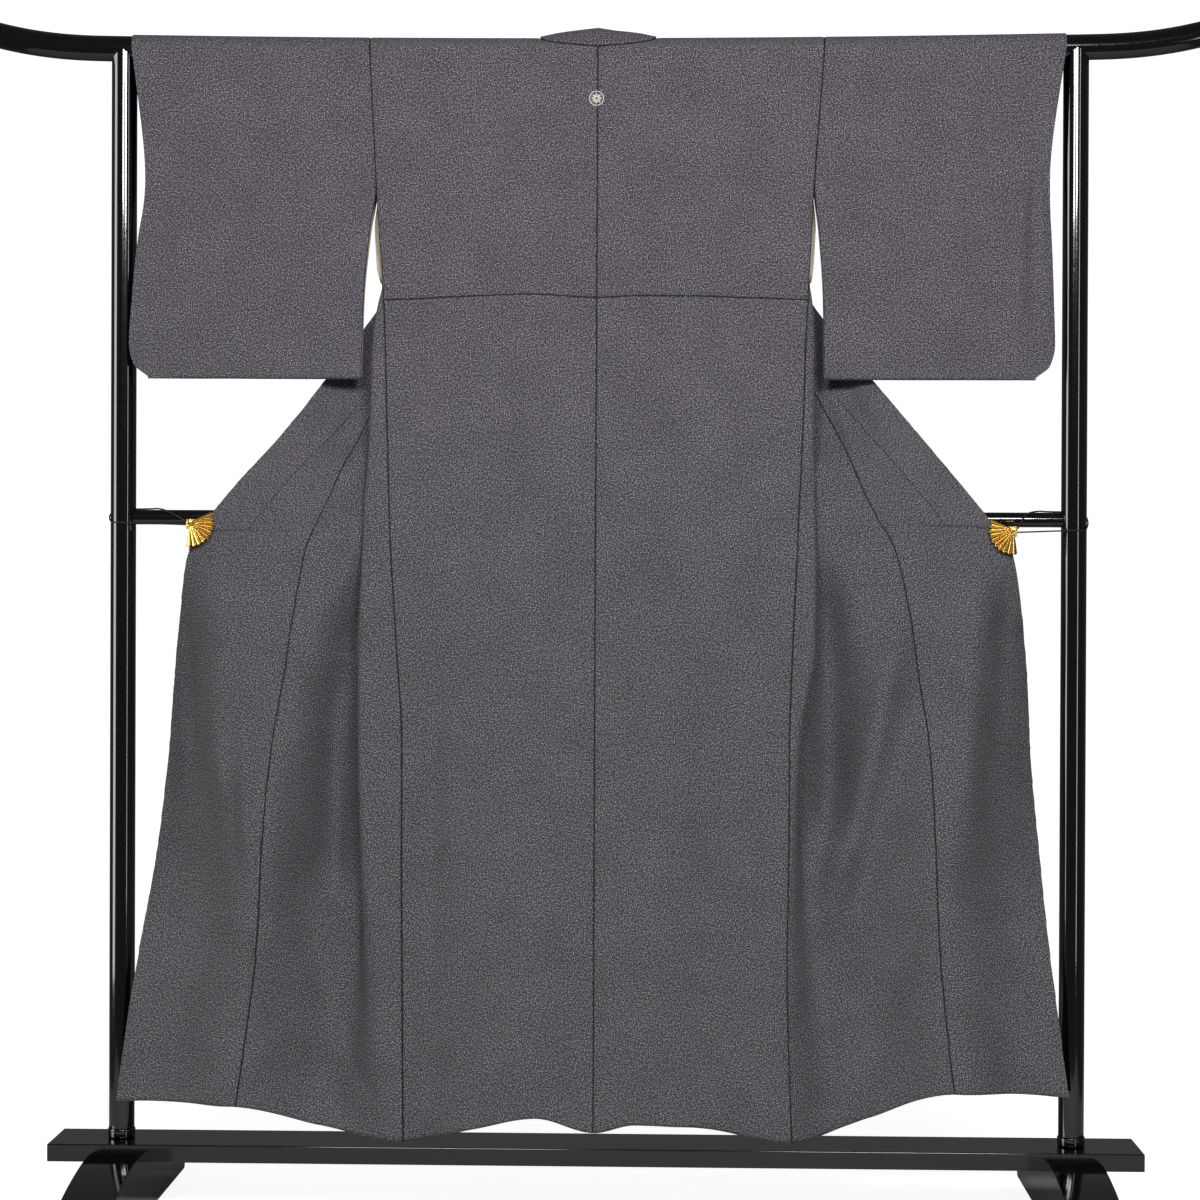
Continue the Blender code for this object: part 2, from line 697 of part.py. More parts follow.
def foot(name, x, look):
    """A deep foot: a side outline with a seat for the plank, low lips beside it and arched tops."""
    seat = PLANK_Z[0] - GAP
    lip = seat + FOOT_LIP
    inner = PLANK_DEPTH / 2 + GAP
    half = [(0, seat), (inner, seat), (inner, lip - 2 * MM), (inner + 2 * MM, lip)]
    for t in np.linspace(0, 1, 9)[1:]:
        y = inner + 2 * MM + (FOOT_HALF - TOE_R - inner - 2 * MM) * t
        half.append((y, lip - (lip - TOE_Z) * t**1.6))
    for angle in (60, 30, 0):
        turn = math.radians(angle)
        half.append((FOOT_HALF + TOE_R * (math.cos(turn) - 1), TOE_Z + TOE_R * (math.sin(turn) - 1)))
    half.append((FOOT_HALF, FOOT_BEVEL))
    half.append((FOOT_HALF - FOOT_BEVEL, 0))
    outline = half + [(-y, z) for y, z in reversed(half[1:])]
    mesh = bpy.data.meshes.new(name)
    form = bmesh.new()
    corners = [form.verts.new((-FOOT_W / 2, y, z)) for y, z in outline]
    side = form.faces.new(corners)
    grown = bmesh.ops.extrude_face_region(form, geom=[side])
    moved = [v for v in grown["geom"] if isinstance(v, bmesh.types.BMVert)]
    bmesh.ops.translate(form, verts=moved, vec=(FOOT_W, 0, 0))
    bmesh.ops.recalc_face_normals(form, faces=form.faces)
    form.to_mesh(mesh)
    form.free()
    mesh.materials.append(look)
    thing = bpy.data.objects.new(name, mesh)
    thing.location = (x, 0, 0)
    PARTS.objects.link(thing)


def build_clip(name, side, brass, rubber):
    """A folding-fan clip on the front's edge, with its jaws round the cloth and its elastic to the post."""
    edge_z = CLIP_Z[side] - JAW_LOW - 7 * MM
    edge = FRONT[side].at(FRONT_W + curve_through(FRONTS[side], "band", edge_z, COLUMNS), edge_z)
    pivot = Vector((edge[0] + side * PIVOT_OUT, edge[1], CLIP_Z[side]))
    front_y = pivot.y - CLOTH_T / 2 - JAW_GAP
    back_y = pivot.y + CLOTH_T / 2 + JAW_GAP
    x0 = pivot.x - side * JAW_BACK
    x1 = pivot.x + side * JAW_OUT
    boss = pivot.x - side * JAW_HIGH
    low = pivot.z - JAW_LOW
    high = pivot.z + JAW_HIGH
    face = front_y - JAW_T
    outline = [(x0, face), (boss, face), (boss, face - BOSS_H), (x1, face - BOSS_H)]
    outline += [(x1, back_y + JAW_T), (x0, back_y + JAW_T), (x0, back_y)]
    outline += [(x1 - side * 3 * MM, back_y), (x1 - side * 3 * MM, front_y), (x0, front_y)]
    count = len(outline)
    vertices = [(x, y, z) for z in (low, high) for x, y in outline]
    faces = [tuple(range(count)), tuple(reversed(range(count, 2 * count)))]
    for i in range(count):
        k = (i + 1) % count
        faces.append((i, i + count, k + count, k))
    jaw = add_mesh(f"clip_{name}", vertices, faces, brass, smooth=False)
    form = bmesh.new()
    form.from_mesh(jaw.data)
    bmesh.ops.recalc_face_normals(form, faces=form.faces)
    form.to_mesh(jaw.data)
    form.free()
    fan_y = face - BOSS_H - GAP - FAN_T / 2 - 0.35 * FAN_PLEAT_DEPTH
    vertices = []
    for radius in (KNOB_R + 0.4 * MM, 0.55 * FAN_R, FAN_R):
        for i in range(2 * FAN_PLEATS + 1):
            share = i / (2 * FAN_PLEATS)
            turn = math.radians(FAN_FIRST - FAN_SPREAD * share)
            bulge = -1 if i % 2 else 1
            out = radius + (0.8 * MM * bulge if radius == FAN_R else 0)
            y = fan_y + FAN_PLEAT_DEPTH * bulge * radius / FAN_R
            x = pivot.x - side * out * math.cos(turn)
            vertices.append((x, y, pivot.z + out * math.sin(turn)))
    points = np.array(vertices).reshape(3, 2 * FAN_PLEATS + 1, 3)
    cloth(f"fan_{name}", points, brass, FAN_T)
    bpy.ops.mesh.primitive_uv_sphere_add(segments=12, ring_count=6, radius=KNOB_R)
    knob = linked(bpy.context.object, PARTS)
    knob.name = f"knob_{name}"
    knob.data.transform(Matrix.Diagonal((1, KNOB_HALF_T / KNOB_R, 1, 1)))
    knob.location = (pivot.x, face - BOSS_H - GAP - KNOB_HALF_T, pivot.z)
    knob.data.materials.append(brass)
    elastic_r = POST_R + ELASTIC_R + GAP
    start = Vector((x1 + side * (ELASTIC_R + GAP), pivot.y, pivot.z))
    over_z = MID_BAR_Z + MID_BAR_R + ELASTIC_R + GAP
    route = [start - Vector((0, 0, 3 * MM))]
    for angle in np.linspace(-100, 110, 13):
        turn = math.radians(angle)
        z = pivot.z + (over_z - pivot.z) * float(ramp((angle + 60) / 120))
        x = side * (POST_X + elastic_r * math.cos(turn))
        route.append((x, elastic_r * math.sin(turn), z))
    for x, y, z in ELASTIC_WAY:
        route.append((side * x * MM, y * MM, over_z + z * MM))
    route.append(start + Vector((0, 0, 2 * MM)))
    tube(f"elastic_{name}", route, ELASTIC_R, rubber)


def main():
    silk = material("dyed_silk_crepe", (0.098, 0.094, 0.102), 0.72)
    lining = material("undyed_silk_lining", (0.62, 0.55, 0.42), 0.6)
    lacquer = material("black_lacquered_wood", (0.004, 0.004, 0.005), 0.08)
    brass = material("gilt_brass", (0.83, 0.58, 0.18), 0.25, 1.0)
    rubber = material("black_elastic_cord", (0.01, 0.01, 0.01), 0.8)
    build_garment(silk, lining)
    build_stand(lacquer)
    for name, side in SIDES.items():
        build_clip(name, side, brass, rubber)


for old in list(bpy.data.objects):
    bpy.data.objects.remove(old, do_unlink=True)
PARTS = bpy.data.collections.new("hung_kimono")
CUTTERS = bpy.data.collections.new("cutters")
bpy.context.scene.collection.children.link(PARTS)
bpy.context.scene.collection.children.link(CUTTERS)
main()
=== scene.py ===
# %% [markdown]
# # A kimono on its stand
#
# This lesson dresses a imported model: a lined silk kimono, seen from its back, that hangs by its shoulders
# on a black lacquered stand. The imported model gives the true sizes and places. Each panel of cloth is made
# again here as a fine shell with its seams, folds and weave, and the stand and its clips get smooth shapes
# and finishes. Everything is in metres, with the origin on the floor under the middle of the stand.

# %% Load the frame
import math

import bmesh
import bpy
import numpy as np
from mathutils import Matrix, Vector


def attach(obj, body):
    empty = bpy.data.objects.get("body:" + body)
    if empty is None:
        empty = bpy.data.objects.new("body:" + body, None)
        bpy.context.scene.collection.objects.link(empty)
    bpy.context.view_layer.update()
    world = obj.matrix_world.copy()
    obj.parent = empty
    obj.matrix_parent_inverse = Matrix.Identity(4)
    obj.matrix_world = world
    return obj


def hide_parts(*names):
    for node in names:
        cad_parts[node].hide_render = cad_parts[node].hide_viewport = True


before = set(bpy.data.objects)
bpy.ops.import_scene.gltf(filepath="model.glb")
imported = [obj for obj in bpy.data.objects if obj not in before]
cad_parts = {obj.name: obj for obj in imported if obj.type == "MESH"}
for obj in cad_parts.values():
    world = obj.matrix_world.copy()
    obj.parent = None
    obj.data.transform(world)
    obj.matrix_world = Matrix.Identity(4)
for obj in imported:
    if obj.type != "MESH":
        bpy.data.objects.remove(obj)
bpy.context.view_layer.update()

MM = 0.001
SIDES = {"left": -1, "right": 1}
SIDE_NAMES = {-1: "left", 1: "right"}
print("nodes in the frame:", len(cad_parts))

# %% [markdown]
# ## The camera
#
# The stand is photographed almost square on, from a few steps away with a long lens, so that it keeps its
# shape. A camera is easiest to place by what it aims at: start at the aim, turn round it, step back, tip
# down a little and roll.

# %% Camera
AIM = Vector((0.0056, 0, 0.9))
CAMERA_DISTANCE = 3.7
CAMERA_TURN = 1.535  # degrees towards the photo's right
CAMERA_TIP = 0.334
CAMERA_ROLL = 0.224
PHOTO_WIDTH = 1.704  # what the frame takes in at the aim

camera_data = bpy.data.cameras.new("camera")
camera_data.sensor_width = 36
camera_data.lens = camera_data.sensor_width * CAMERA_DISTANCE / PHOTO_WIDTH
camera = bpy.data.objects.new("camera", camera_data)
bpy.context.scene.collection.objects.link(camera)
turned = Matrix.Translation(AIM) @ Matrix.Rotation(math.radians(CAMERA_TURN), 4, "Z")
stepped_back = turned @ Matrix.Translation((0, -CAMERA_DISTANCE, 0))
tipped = stepped_back @ Matrix.Rotation(math.radians(90 - CAMERA_TIP), 4, "X")
camera.matrix_world = tipped @ Matrix.Rotation(math.radians(CAMERA_ROLL), 4, "Z")
bpy.context.scene.camera = camera
print("lens:", round(camera_data.lens, 2), "mm")

# %% [markdown]
# ## The cut of the garment
#
# A kimono is made of straight panels of one narrow bolt. Each side of the body is one long panel that runs
# up the back, over the shoulder and down the front. A narrow overlap panel widens each front, a long band
# makes the collar, and each sleeve is a folded rectangle. The tables hold the sewn widths and where each
# seam hangs at a few heights, in millimetres. A smooth curve is drawn through each column.

# %% Sizes of the cloth
CLOTH_T = 1.3 * MM
LINING_T = 1.0 * MM
OVER_COLLAR_T = 1.0 * MM
OVER_COLLAR_OUT = 2.3 * MM  # between the middles of the collar's wall and the over collar's
TOUCH = 0.02 * MM  # what is left between two panels at a seam
FRONT_W = 242 * MM
COLLAR_W = 55 * MM
COLLAR_SPREAD = 0.27  # the share by which the collar opens out below the neck
OVERLAP_POINT_W = 3 * MM
NECK_HALF = 82 * MM
SLEEVE_SEAM_Z = 1468 * MM

# Rows of cloth are named by their height in millimetres where the hem is at NOMINAL_HEM.
TOP = 1640
NOMINAL_HEM = 150
TUCK = 1310  # the tuck that is sewn across the back, under the waist's tie
OVERLAP_TOP = 1270
COLLAR_END = 967
OVER_COLLAR_END = 1375
LINING_TOP = 1585
LINING_END = 1335
BACK_ANGLE = 12  # round the bar, where the back's top row lies
NECK_ANGLE = 84  # round the bar, where the neckline is widest
FRONT_ANGLE = 180

BAR_R = 18 * MM
BAR_HALF = 920 * MM
BAR_Z = 1655 * MM
BAR_BOW = 13.5 * MM
SWEEP_FROM = 700 * MM
SWEEP_RISE = 35 * MM

# Each front in plan, one row for a height.
# seam: the side seam's distance from the middle; free: how far the front's edge stands out past it
# strip: from the side seam to the fold beside it; turn: the cloth in each turn of the fold
# edge: the outermost edge's distance from the middle; band: from the overlap's seam to that edge
FRONT_COLUMNS = ("z", "seam", "free", "strip", "turn", "edge", "band")
FRONTS = {
    -1: (
        (1677, 324, 0, -22, 30, 27, 56),
        (1620, 321, 0, -24, 34, 24, 57),
        (1468, 313, 0, -24, 34, 176, 69),
        (1400, 309, 8, -22, 30, 230, 70),
        (1350, 305, 8, -19, 26, 270, 70),
        (1310, 302, 0, 4, 22, 303, 72),
        (1250, 299, 0, 17, 22, 347, 80),
        (1130, 295, 0, 24, 22, 433, 103),
        (1000, 290, 0, 36, 22, 544, 155),
        (950, 288, 0, 40, 24, 577, 166),
        (810, 279, 0, 54, 28, 603, 170),
        (670, 271, 0, 62, 34, 616, 162),
        (530, 271, 0, 58, 50, 629, 165),
        (380, 270, 0, 52, 80, 648, 175),
        (110, 268, 0, 40, 110, 683, 176),
    ),
    1: (
        (1677, 321, 0, -22, 30, 24, 56),
        (1620, 317, 0, -24, 34, 20, 57),
        (1468, 306, 0, -24, 34, 168, 69),
        (1400, 303, 6, -22, 30, 230, 70),
        (1350, 300, 6, -18, 26, 272, 70),
        (1310, 298, 0, 4, 22, 302, 72),
        (1250, 295, 0, 11, 22, 345, 78),
        (1130, 291, 0, 15, 22, 442, 107),
        (1000, 285, 0, 23, 22, 550, 156),
        (950, 283, 0, 26, 24, 585, 163),
        (810, 277, 0, 31, 28, 611, 161),
        (670, 273, 0, 14, 45, 622, 151),
        (530, 273, 0, 10, 70, 632, 155),
        (380, 271, 0, 10, 90, 643, 159),
        (110, 279, 0, 10, 110, 676, 163),
    ),
}

# How far back or forward the cloth hangs, along Y.
DEPTH_COLUMNS = ("z", "back", "front", "edge")
DEPTHS = (
    (1677, -19, 1, 0),
    (1468, -20, -5, 0),
    (1400, -21, -12, 0),
    (1350, -21, -19, 0),
    (1310, -22, -22, 0),
    (1250, -25, -25, 0),
    (1130, -34, -34, -10),
    (1000, -44, -44, -18),
    (800, -47, -47, -22),
    (500, -47, -47, -27),
    (300, -45, -45, -36),
    (110, -41, -41, -44),
)

# The hem's height along the whole garment.
HEM_COLUMNS = ("x", "z")
HEM = (
    (-690, 168),
    (-512, 169),
    (-389, 134),
    (-268, 114),
    (-170, 134),
    (-84, 151),
    (0, 130),
    (60, 142),
    (130, 139),
    (216, 126),
    (278, 117),
    (392, 150),
    (510, 194),
    (690, 183),
)

# Each sleeve's outline: its body edge and its wrist edge at a height.
SLEEVE_COLUMNS = ("z", "inner", "outer")
SLEEVES = {
    -1: (
        (1677, 324, 664),
        (1468, 313, 642),
        (1396, 322, 651),
        (1303, 330, 659),
        (1239, 332, 663),
        (1210, 333, 656),
        (1193, 333, 636),
    ),
    1: (
        (1677, 321, 662),
        (1468, 306, 637),
        (1396, 313, 640),
        (1303, 319, 643),
        (1239, 320, 645),
        (1210, 320, 638),
        (1193, 320, 618),
    ),
}
SLEEVE_ROWS = (1655, 1193)
SLEEVE_LOWEST = 1190.5
SLEEVE_SWING = {-1: 22 * MM, 1: 16 * MM}  # how far the wrist edge hangs forward at the bottom
INNER_SWING = 14 * MM
SLEEVE_HALF_GAP = 5 * MM  # half the room between the sleeve's two layers, from NARROW_Z down
NARROW_Z = 1250 * MM
BOWED_FROM = 1500 * MM  # above it the rows follow the bar's bow more and more
SWING_FROM = 1518 * MM
SWING_OVER = 190 * MM
SHUT_OVER = 60 * MM  # the wrist edges close within this length below the open cuff
print("rows in the tables:", len(FRONTS[-1]), len(DEPTHS), len(HEM), len(SLEEVES[-1]))

# %% Curves through the tables
def ramp(t):
    """0 up to t = 0, 1 from t = 1, and smooth between."""
    t = np.clip(t, 0.0, 1.0)
    return t * t * (3 - 2 * t)


def curve_through(rows, column, at, columns):
    """A smooth curve through one column of a table, with no overshoot, read at places in metres."""
    table = np.array(sorted(rows), float) * MM
    x, v = table[:, 0], table[:, columns.index(column)]
    step = np.diff(v) / np.diff(x)
    slope = np.concatenate([step[:1], np.zeros(len(x) - 2), step[-1:]])
    rising = step[:-1] * step[1:] > 0
    slope[1:-1][rising] = (2 * step[:-1] * step[1:])[rising] / (step[:-1] + step[1:])[rising]
    at = np.clip(at, x[0], x[-1])
    i = np.clip(np.searchsorted(x, at) - 1, 0, len(x) - 2)
    h = x[i + 1] - x[i]
    t = (at - x[i]) / h
    ease = t * t * (3 - 2 * t)
    start = slope[i] * h * t * (1 - t) ** 2
    finish = slope[i + 1] * h * t * t * (1 - t)
    return v[i] * (1 - ease) + v[i + 1] * ease + start - finish


def depth_at(column, z):
    return curve_through(DEPTHS, column, z, DEPTH_COLUMNS)


def hem_at(x):
    return curve_through(HEM, "z", x, HEM_COLUMNS)


def seam_x(side, z):
    return curve_through(FRONTS[side], "seam", z, FRONT_COLUMNS)


def bar_axis(x):
    """The height of the top bar's axis: bowed between the posts and swept up past them."""
    x = np.abs(x)
    past = np.clip((x - SWEEP_FROM) / (BAR_HALF - SWEEP_FROM), 0, None)
    return BAR_Z + BAR_BOW * x**2 + SWEEP_RISE * past**2.3


print("hem in the middle:", round(float(hem_at(0.0)) / MM), "mm above the floor")

# %% [markdown]
# ## Folds and creases
#
# Hung silk is never flat. It has a few broad folds where the cloth is pulled, some sharper creases, and slow
# shallow waves everywhere. Each is a number added to the depth of the cloth: a fold is a bell-shaped ridge
# or trough along a leaning line, and the waves are a sum of a few seeded sines. Cloth simulation could make
# folds as well, but not these folds in these places.

# %% Folds
# across is measured from the middle on the back, and along the cloth from the side seam on a front, at the
# fold's upper and lower end. A negative depth comes forward.
FOLDS = (
    # part, top_z, low_z, top_across, low_across, half, depth
    ("back", 620, 60, -112, -112, 75, -13),
    ("back", 560, 60, 75, 75, 60, -9),
    ("back", 860, 110, -232, -236, 26, 11),
    ("back", 900, 150, 150, 168, 34, 8),
    ("left", 1390, 1120, 372, 246, 70, 32),
    ("left", 965, 520, 150, 158, 34, 40),
    ("left", 940, 420, 226, 236, 40, -14),
    ("left", 760, 60, 262, 244, 72, -55),
    ("right", 1390, 1120, 358, 220, 62, 38),
    ("right", 965, 600, 135, 100, 30, 40),
    ("right", 900, 480, 232, 108, 24, -14),
    ("right", 760, 60, 262, 244, 72, -52),
)

# Below its clip the outer edge of each front swings back, from a soft ridge outwards.
# from_edge: the ridge's distance from the edge along the cloth; back: how far the edge swings back
SWING_COLUMNS = ("z", "from_edge", "back")
SWINGS = (
    (965, 45, 0),
    (930, 55, 12),
    (880, 68, 45),
    (810, 85, 78),
    (670, 104, 88),
    (530, 140, 62),
    (380, 160, 20),
    (300, 165, 4),
    (110, 168, 0),
)

# Finer creases of the outer cloth, by their distance from the middle line, right being positive.
CREASES = (
    # part, top_z, low_z, top_x, mid_x, low_x, half, depth
    ("left", 770, 430, -532, -508, -486, 13, 5.0),
    ("left", 770, 500, -498, -492, -483, 11, -4.0),
    ("left", 800, 440, -368, -379, -360, 15, 6.0),
    ("left", 1230, 960, -330, -372, -430, 11, 4.5),
    ("left", 1180, 930, -310, -346, -392, 9, -4.0),
    ("left", 1090, 900, -312, -338, -372, 8, 4.0),
    ("left", 1020, 860, -322, -342, -366, 8, -3.0),
    ("left", 420, 170, -500, -440, -350, 16, 4.5),
    ("left", 460, 200, -455, -405, -330, 14, -4.0),
    ("left", 380, 150, -410, -362, -300, 14, 3.5),
    ("left", 1250, 1060, -352, -382, -410, 16, 3.0),
    ("left", 930, 560, -596, -580, -566, 12, 4.0),
    ("left", 960, 520, -556, -540, -516, 16, -4.5),
    ("back", 900, 180, -227, -226, -240, 16, 4.0),
    ("back", 790, 440, 152, 163, 174, 18, 3.0),
    ("back", 1000, 470, -31, -27, -26, 6, 1.6),
    ("back", 1290, 1020, -286, -281, -279, 9, 2.2),
    ("back", 420, 160, 40, 70, 96, 22, 3.0),
    ("right", 760, 490, 318, 336, 352, 15, 4.0),
    ("right", 880, 430, 440, 384, 322, 16, -7.0),
    ("right", 860, 380, 480, 424, 350, 20, 6.0),
    ("right", 960, 480, 556, 536, 520, 16, -5.5),
    ("right", 1240, 960, 312, 360, 424, 8, -4.0),
    ("right", 1230, 980, 340, 392, 452, 12, 4.0),
    ("right", 960, 640, 588, 576, 570, 12, 4.0),
    ("right", 520, 180, 486, 424, 350, 16, 4.5),
    ("right", 470, 170, 452, 390, 330, 14, -3.5),
    ("sleeve_left", 1680, 1180, -573, -586, -609, 6, -3.0),
    ("sleeve_left", 1600, 1180, -560, -570, -588, 12, 3.0),
    ("sleeve_left", 1640, 1180, -602, -614, -630, 12, 2.6),
    ("sleeve_left", 1440, 1170, -425, -478, -540, 24, -3.6),
    ("sleeve_left", 1400, 1180, -352, -392, -440, 26, 3.2),
    ("sleeve_right", 1500, 1240, 605, 597, 592, 6, -2.8),
    ("sleeve_right", 1510, 1220, 614, 613, 619, 7, 3.4),
    ("sleeve_right", 1480, 1240, 625, 630, 636, 6, -2.6),
    ("sleeve_right", 1460, 1180, 560, 520, 470, 26, -3.4),
    ("sleeve_right", 1660, 1420, 545, 541, 530, 10, 2.0),
    ("sleeve_right", 1660, 1400, 470, 474, 480, 12, 2.0),
)
WAVES = 9  # how many sines are summed
WAVE_SEEDS = {"back": 11, "left": 12, "right": 13, "sleeve_left": 14, "sleeve_right": 15, "collar": 16}


def fold_depth(part, across, z):
    """How far the broad folds of one part move its cloth along Y."""
    moved = np.zeros(np.broadcast(across, z).shape)
    for name, top_z, low_z, top_across, low_across, half, depth in FOLDS:
        if name == part:
            down = (top_z * MM - z) / ((top_z - low_z) * MM)
            middle = (top_across + (low_across - top_across) * down) * MM
            fade = ramp(down * 3) * ramp((1.25 - down) * 4)
            moved = moved + depth * MM * fade * np.exp(-(((across - middle) / (half * MM)) ** 2))
    return moved


def crease_depth(part, x, z):
    """How far the finer creases of one part move its cloth along Y."""
    moved = np.zeros(np.broadcast(x, z).shape)
    for name, top_z, low_z, top_x, mid_x, low_x, half, depth in CREASES:
        if name == part:
            down = (top_z * MM - z) / ((top_z - low_z) * MM)
            bend = 2 * (top_x + low_x) - 4 * mid_x
            middle = (top_x + (low_x - top_x - bend) * down + bend * down**2) * MM
            fade = ramp(down * 4) * ramp((1 - down) * 4)
            moved = moved + depth * MM * fade * np.exp(-(((x - middle) / (half * MM)) ** 2))
    return moved


def wave_depth(part, x, z, height=1.0):
    """Slow shallow waves, mostly running down the cloth."""
    chance = np.random.default_rng(WAVE_SEEDS[part])
    moved = np.zeros(np.broadcast(x, z).shape)
    for _ in range(WAVES):
        length = chance.uniform(35, 150) * MM
        lean, first, second = chance.uniform(-0.3, 0.3), *chance.uniform(0, 2 * math.pi, 2)
        tall = chance.uniform(250, 900) * MM
        swell = 0.006 * length * (0.6 + 0.4 * np.sin(2 * math.pi * z / tall + second))
        moved = moved + swell * np.sin(2 * math.pi * (x + lean * z) / length + first)
    return moved * height


print("folds:", len(FOLDS), "creases:", len(CREASES))

# %% [markdown]
# ## How a front folds
#
# Each front hangs from the shoulder, folds back behind its side seam, and is then drawn out sideways by a
# clip. Seen from above that is a flat S: out along a strip, back, and out again. The S has more cloth than
# the straight way, and where its second turn lies follows from that surplus, so it is solved by halving at
# every height. Walking along the cloth and adding up its heading gives the section.

# %% One front's section at every height
class Front:
    STEP = 1 * MM  # along the cloth
    Z_STEP = 5 * MM
    LOWEST = 90 * MM
    HIGHEST = 1690 * MM
    BEFORE = 40 * MM  # how far the section goes on before the side seam
    LONGEST = 430 * MM
    HALVINGS = 30
    PULLED_BELOW = 1.0  # the height from which the outer edge is led to its place
    PULLED_OVER = 0.2

    def __init__(self, side):
        self.side = side
        self.z = np.arange(self.LOWEST, self.HIGHEST, self.Z_STEP)
        self.s = np.arange(-self.BEFORE, self.LONGEST, self.STEP)
        column = {}
        for name in FRONT_COLUMNS[1:]:
            column[name] = curve_through(FRONTS[side], name, self.z, FRONT_COLUMNS)[:, None]
        start = column["seam"] + column["free"]
        width = FRONT_W + column["band"]
        turn = column["turn"]
        first = column["strip"] - 0.35 * turn
        s = self.s[None, :]
        on_cloth = (s >= 0) & (s <= width)
        near, far = first, width + turn
        for _ in range(self.HALVINGS):
            second = (near + far) / 2
            heading = math.pi * (ramp((s - first) / turn) - ramp((s - second) / turn))
            reach = (np.cos(heading) * on_cloth).sum(1, keepdims=True) * self.STEP
            too_far = reach > column["edge"] - start
            near = np.where(too_far, second, near)
            far = np.where(too_far, far, second)
        x = np.cumsum(np.cos(heading), 1) * self.STEP
        y = np.cumsum(np.sin(heading), 1) * self.STEP
        zero = int(round(self.BEFORE / self.STEP))
        x = start + x - x[:, zero : zero + 1]
        y = depth_at("front", self.z)[:, None] + y
        end = (np.where(s <= width, y, 0)).max(1, keepdims=True)
        wanted = depth_at("edge", self.z)[:, None]
        pull = ramp((self.PULLED_BELOW - self.z[:, None]) / self.PULLED_OVER)
        past = np.clip((s - second) / np.maximum(width - second, turn), 0, 1)
        y = y + pull * (wanted - end) * past
        from_edge = curve_through(SWINGS, "from_edge", self.z, SWING_COLUMNS)[:, None]
        back = curve_through(SWINGS, "back", self.z, SWING_COLUMNS)[:, None]
        outer = np.clip((s - width + from_edge) / from_edge, 0, 1.2)
        y = y + back * outer**2 / (outer + 0.12)
        self.x = x
        self.y = y + fold_depth(SIDE_NAMES[side], s, self.z[:, None])
        self.fold = second[:, 0]

    def at(self, s, z):
        """Points at cloth positions s and heights z."""
        s, z = np.broadcast_arrays(np.asarray(s, float), np.asarray(z, float))
        i = np.clip((z - self.z[0]) / self.Z_STEP, 0, len(self.z) - 1.001)
        j = np.clip((s - self.s[0]) / self.STEP, 0, len(self.s) - 1.001)
        i0, j0 = i.astype(int), j.astype(int)
        u, v = i - i0, j - j0

        def mixed(a):
            low = a[i0, j0] * (1 - v) + a[i0, j0 + 1] * v
            high = a[i0 + 1, j0] * (1 - v) + a[i0 + 1, j0 + 1] * v
            return low * (1 - u) + high * u

        return np.stack([self.side * mixed(self.x), mixed(self.y), z], axis=-1)

    def second_turn(self, z):
        return np.interp(z, self.z, self.fold)


FRONT = {side: Front(side) for side in (-1, 1)}
for name, side in SIDES.items():
    print(name, "front: second turn of the fold at", round(float(FRONT[side].second_turn(0.8)) / MM), "mm")

# %% [markdown]
# ## Rows of points
#
# A sheet that follows a rule is best made as a grid: rows down the cloth and columns across it. The columns
# crowd together at the seams and in the turns of a fold, where the cloth bends most, and stay wide apart
# where it hangs straight. The front, its overlap and its collar share their rows, so their seams meet.

# %% Rows of the back and the fronts
ROW_STEP = 5.5  # between rows, in millimetres
TUCK_ROWS = (-3.2, -1.8, -1.0, -0.4, 0.4, 1.0, 1.8, 3.2)  # extra rows beside the tuck's line
COLLAR_END_STEP = 0.2  # the collar ends between two rows that nearly touch
BODY_COLUMNS = 62
OVERLAP_COLUMNS = 32
COLLAR_COLUMNS = 20
SLEEVE_CROSS_COLUMNS = 72
BAR_STEPS = 22
BAR_CHORD = 12  # degrees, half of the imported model's step round the bar


def levels_between(top, low):
    """The rows between two levels, both included, from the upper one down."""
    ends = [top, low, COLLAR_END, COLLAR_END - COLLAR_END_STEP]
    rows = np.concatenate([np.arange(NOMINAL_HEM, TOP, ROW_STEP), np.add(TUCK, TUCK_ROWS), ends])
    return np.unique(rows[(rows >= low) & (rows <= top)])[::-1]


def spread(start, finish, columns, spots=()):
    """Places from start to finish, closer together at both ends and near each spot (place, reach)."""
    s = np.linspace(start, finish, 1500)
    weight = np.ones_like(s)
    for place, reach in ((start, 1.8 * MM), (finish, 1.8 * MM)):
        weight = weight + 7 * np.exp(-(((s - place) / reach) ** 2))
    for place, reach in spots:
        weight = weight + 3 * np.exp(-(((s - place) / reach) ** 2))
    total = np.concatenate([[0], np.cumsum((weight[1:] + weight[:-1]) / 2)])
    return np.interp(np.linspace(0, total[-1], columns), total, s)


def share_down(level):
    """How far down a front a row lies: 0 at the bar and 1 at the hem."""
    return (TOP - level) / (TOP - NOMINAL_HEM)


def back_row(side, columns, level):
    """One row of the back, from the middle seam to the side seam."""
    across = spread(0, 0.3, columns) / 0.3
    x = side * seam_x(side, 0.12) * across
    z = TOP * MM + (hem_at(x) - TOP * MM) * share_down(level)
    x = side * (TOUCH / 2 + (seam_x(side, z) - TOUCH) * across)
    y = depth_at("back", z) + fold_depth("back", x, z) + crease_depth("back", x, z)
    near_seam = ramp((seam_x(side, z) - np.abs(x)) / (20 * MM))
    y = y + wave_depth("back", x, z) * ramp((1.62 - z) / 0.1) * near_seam
    return np.stack([x, y, z], axis=-1)


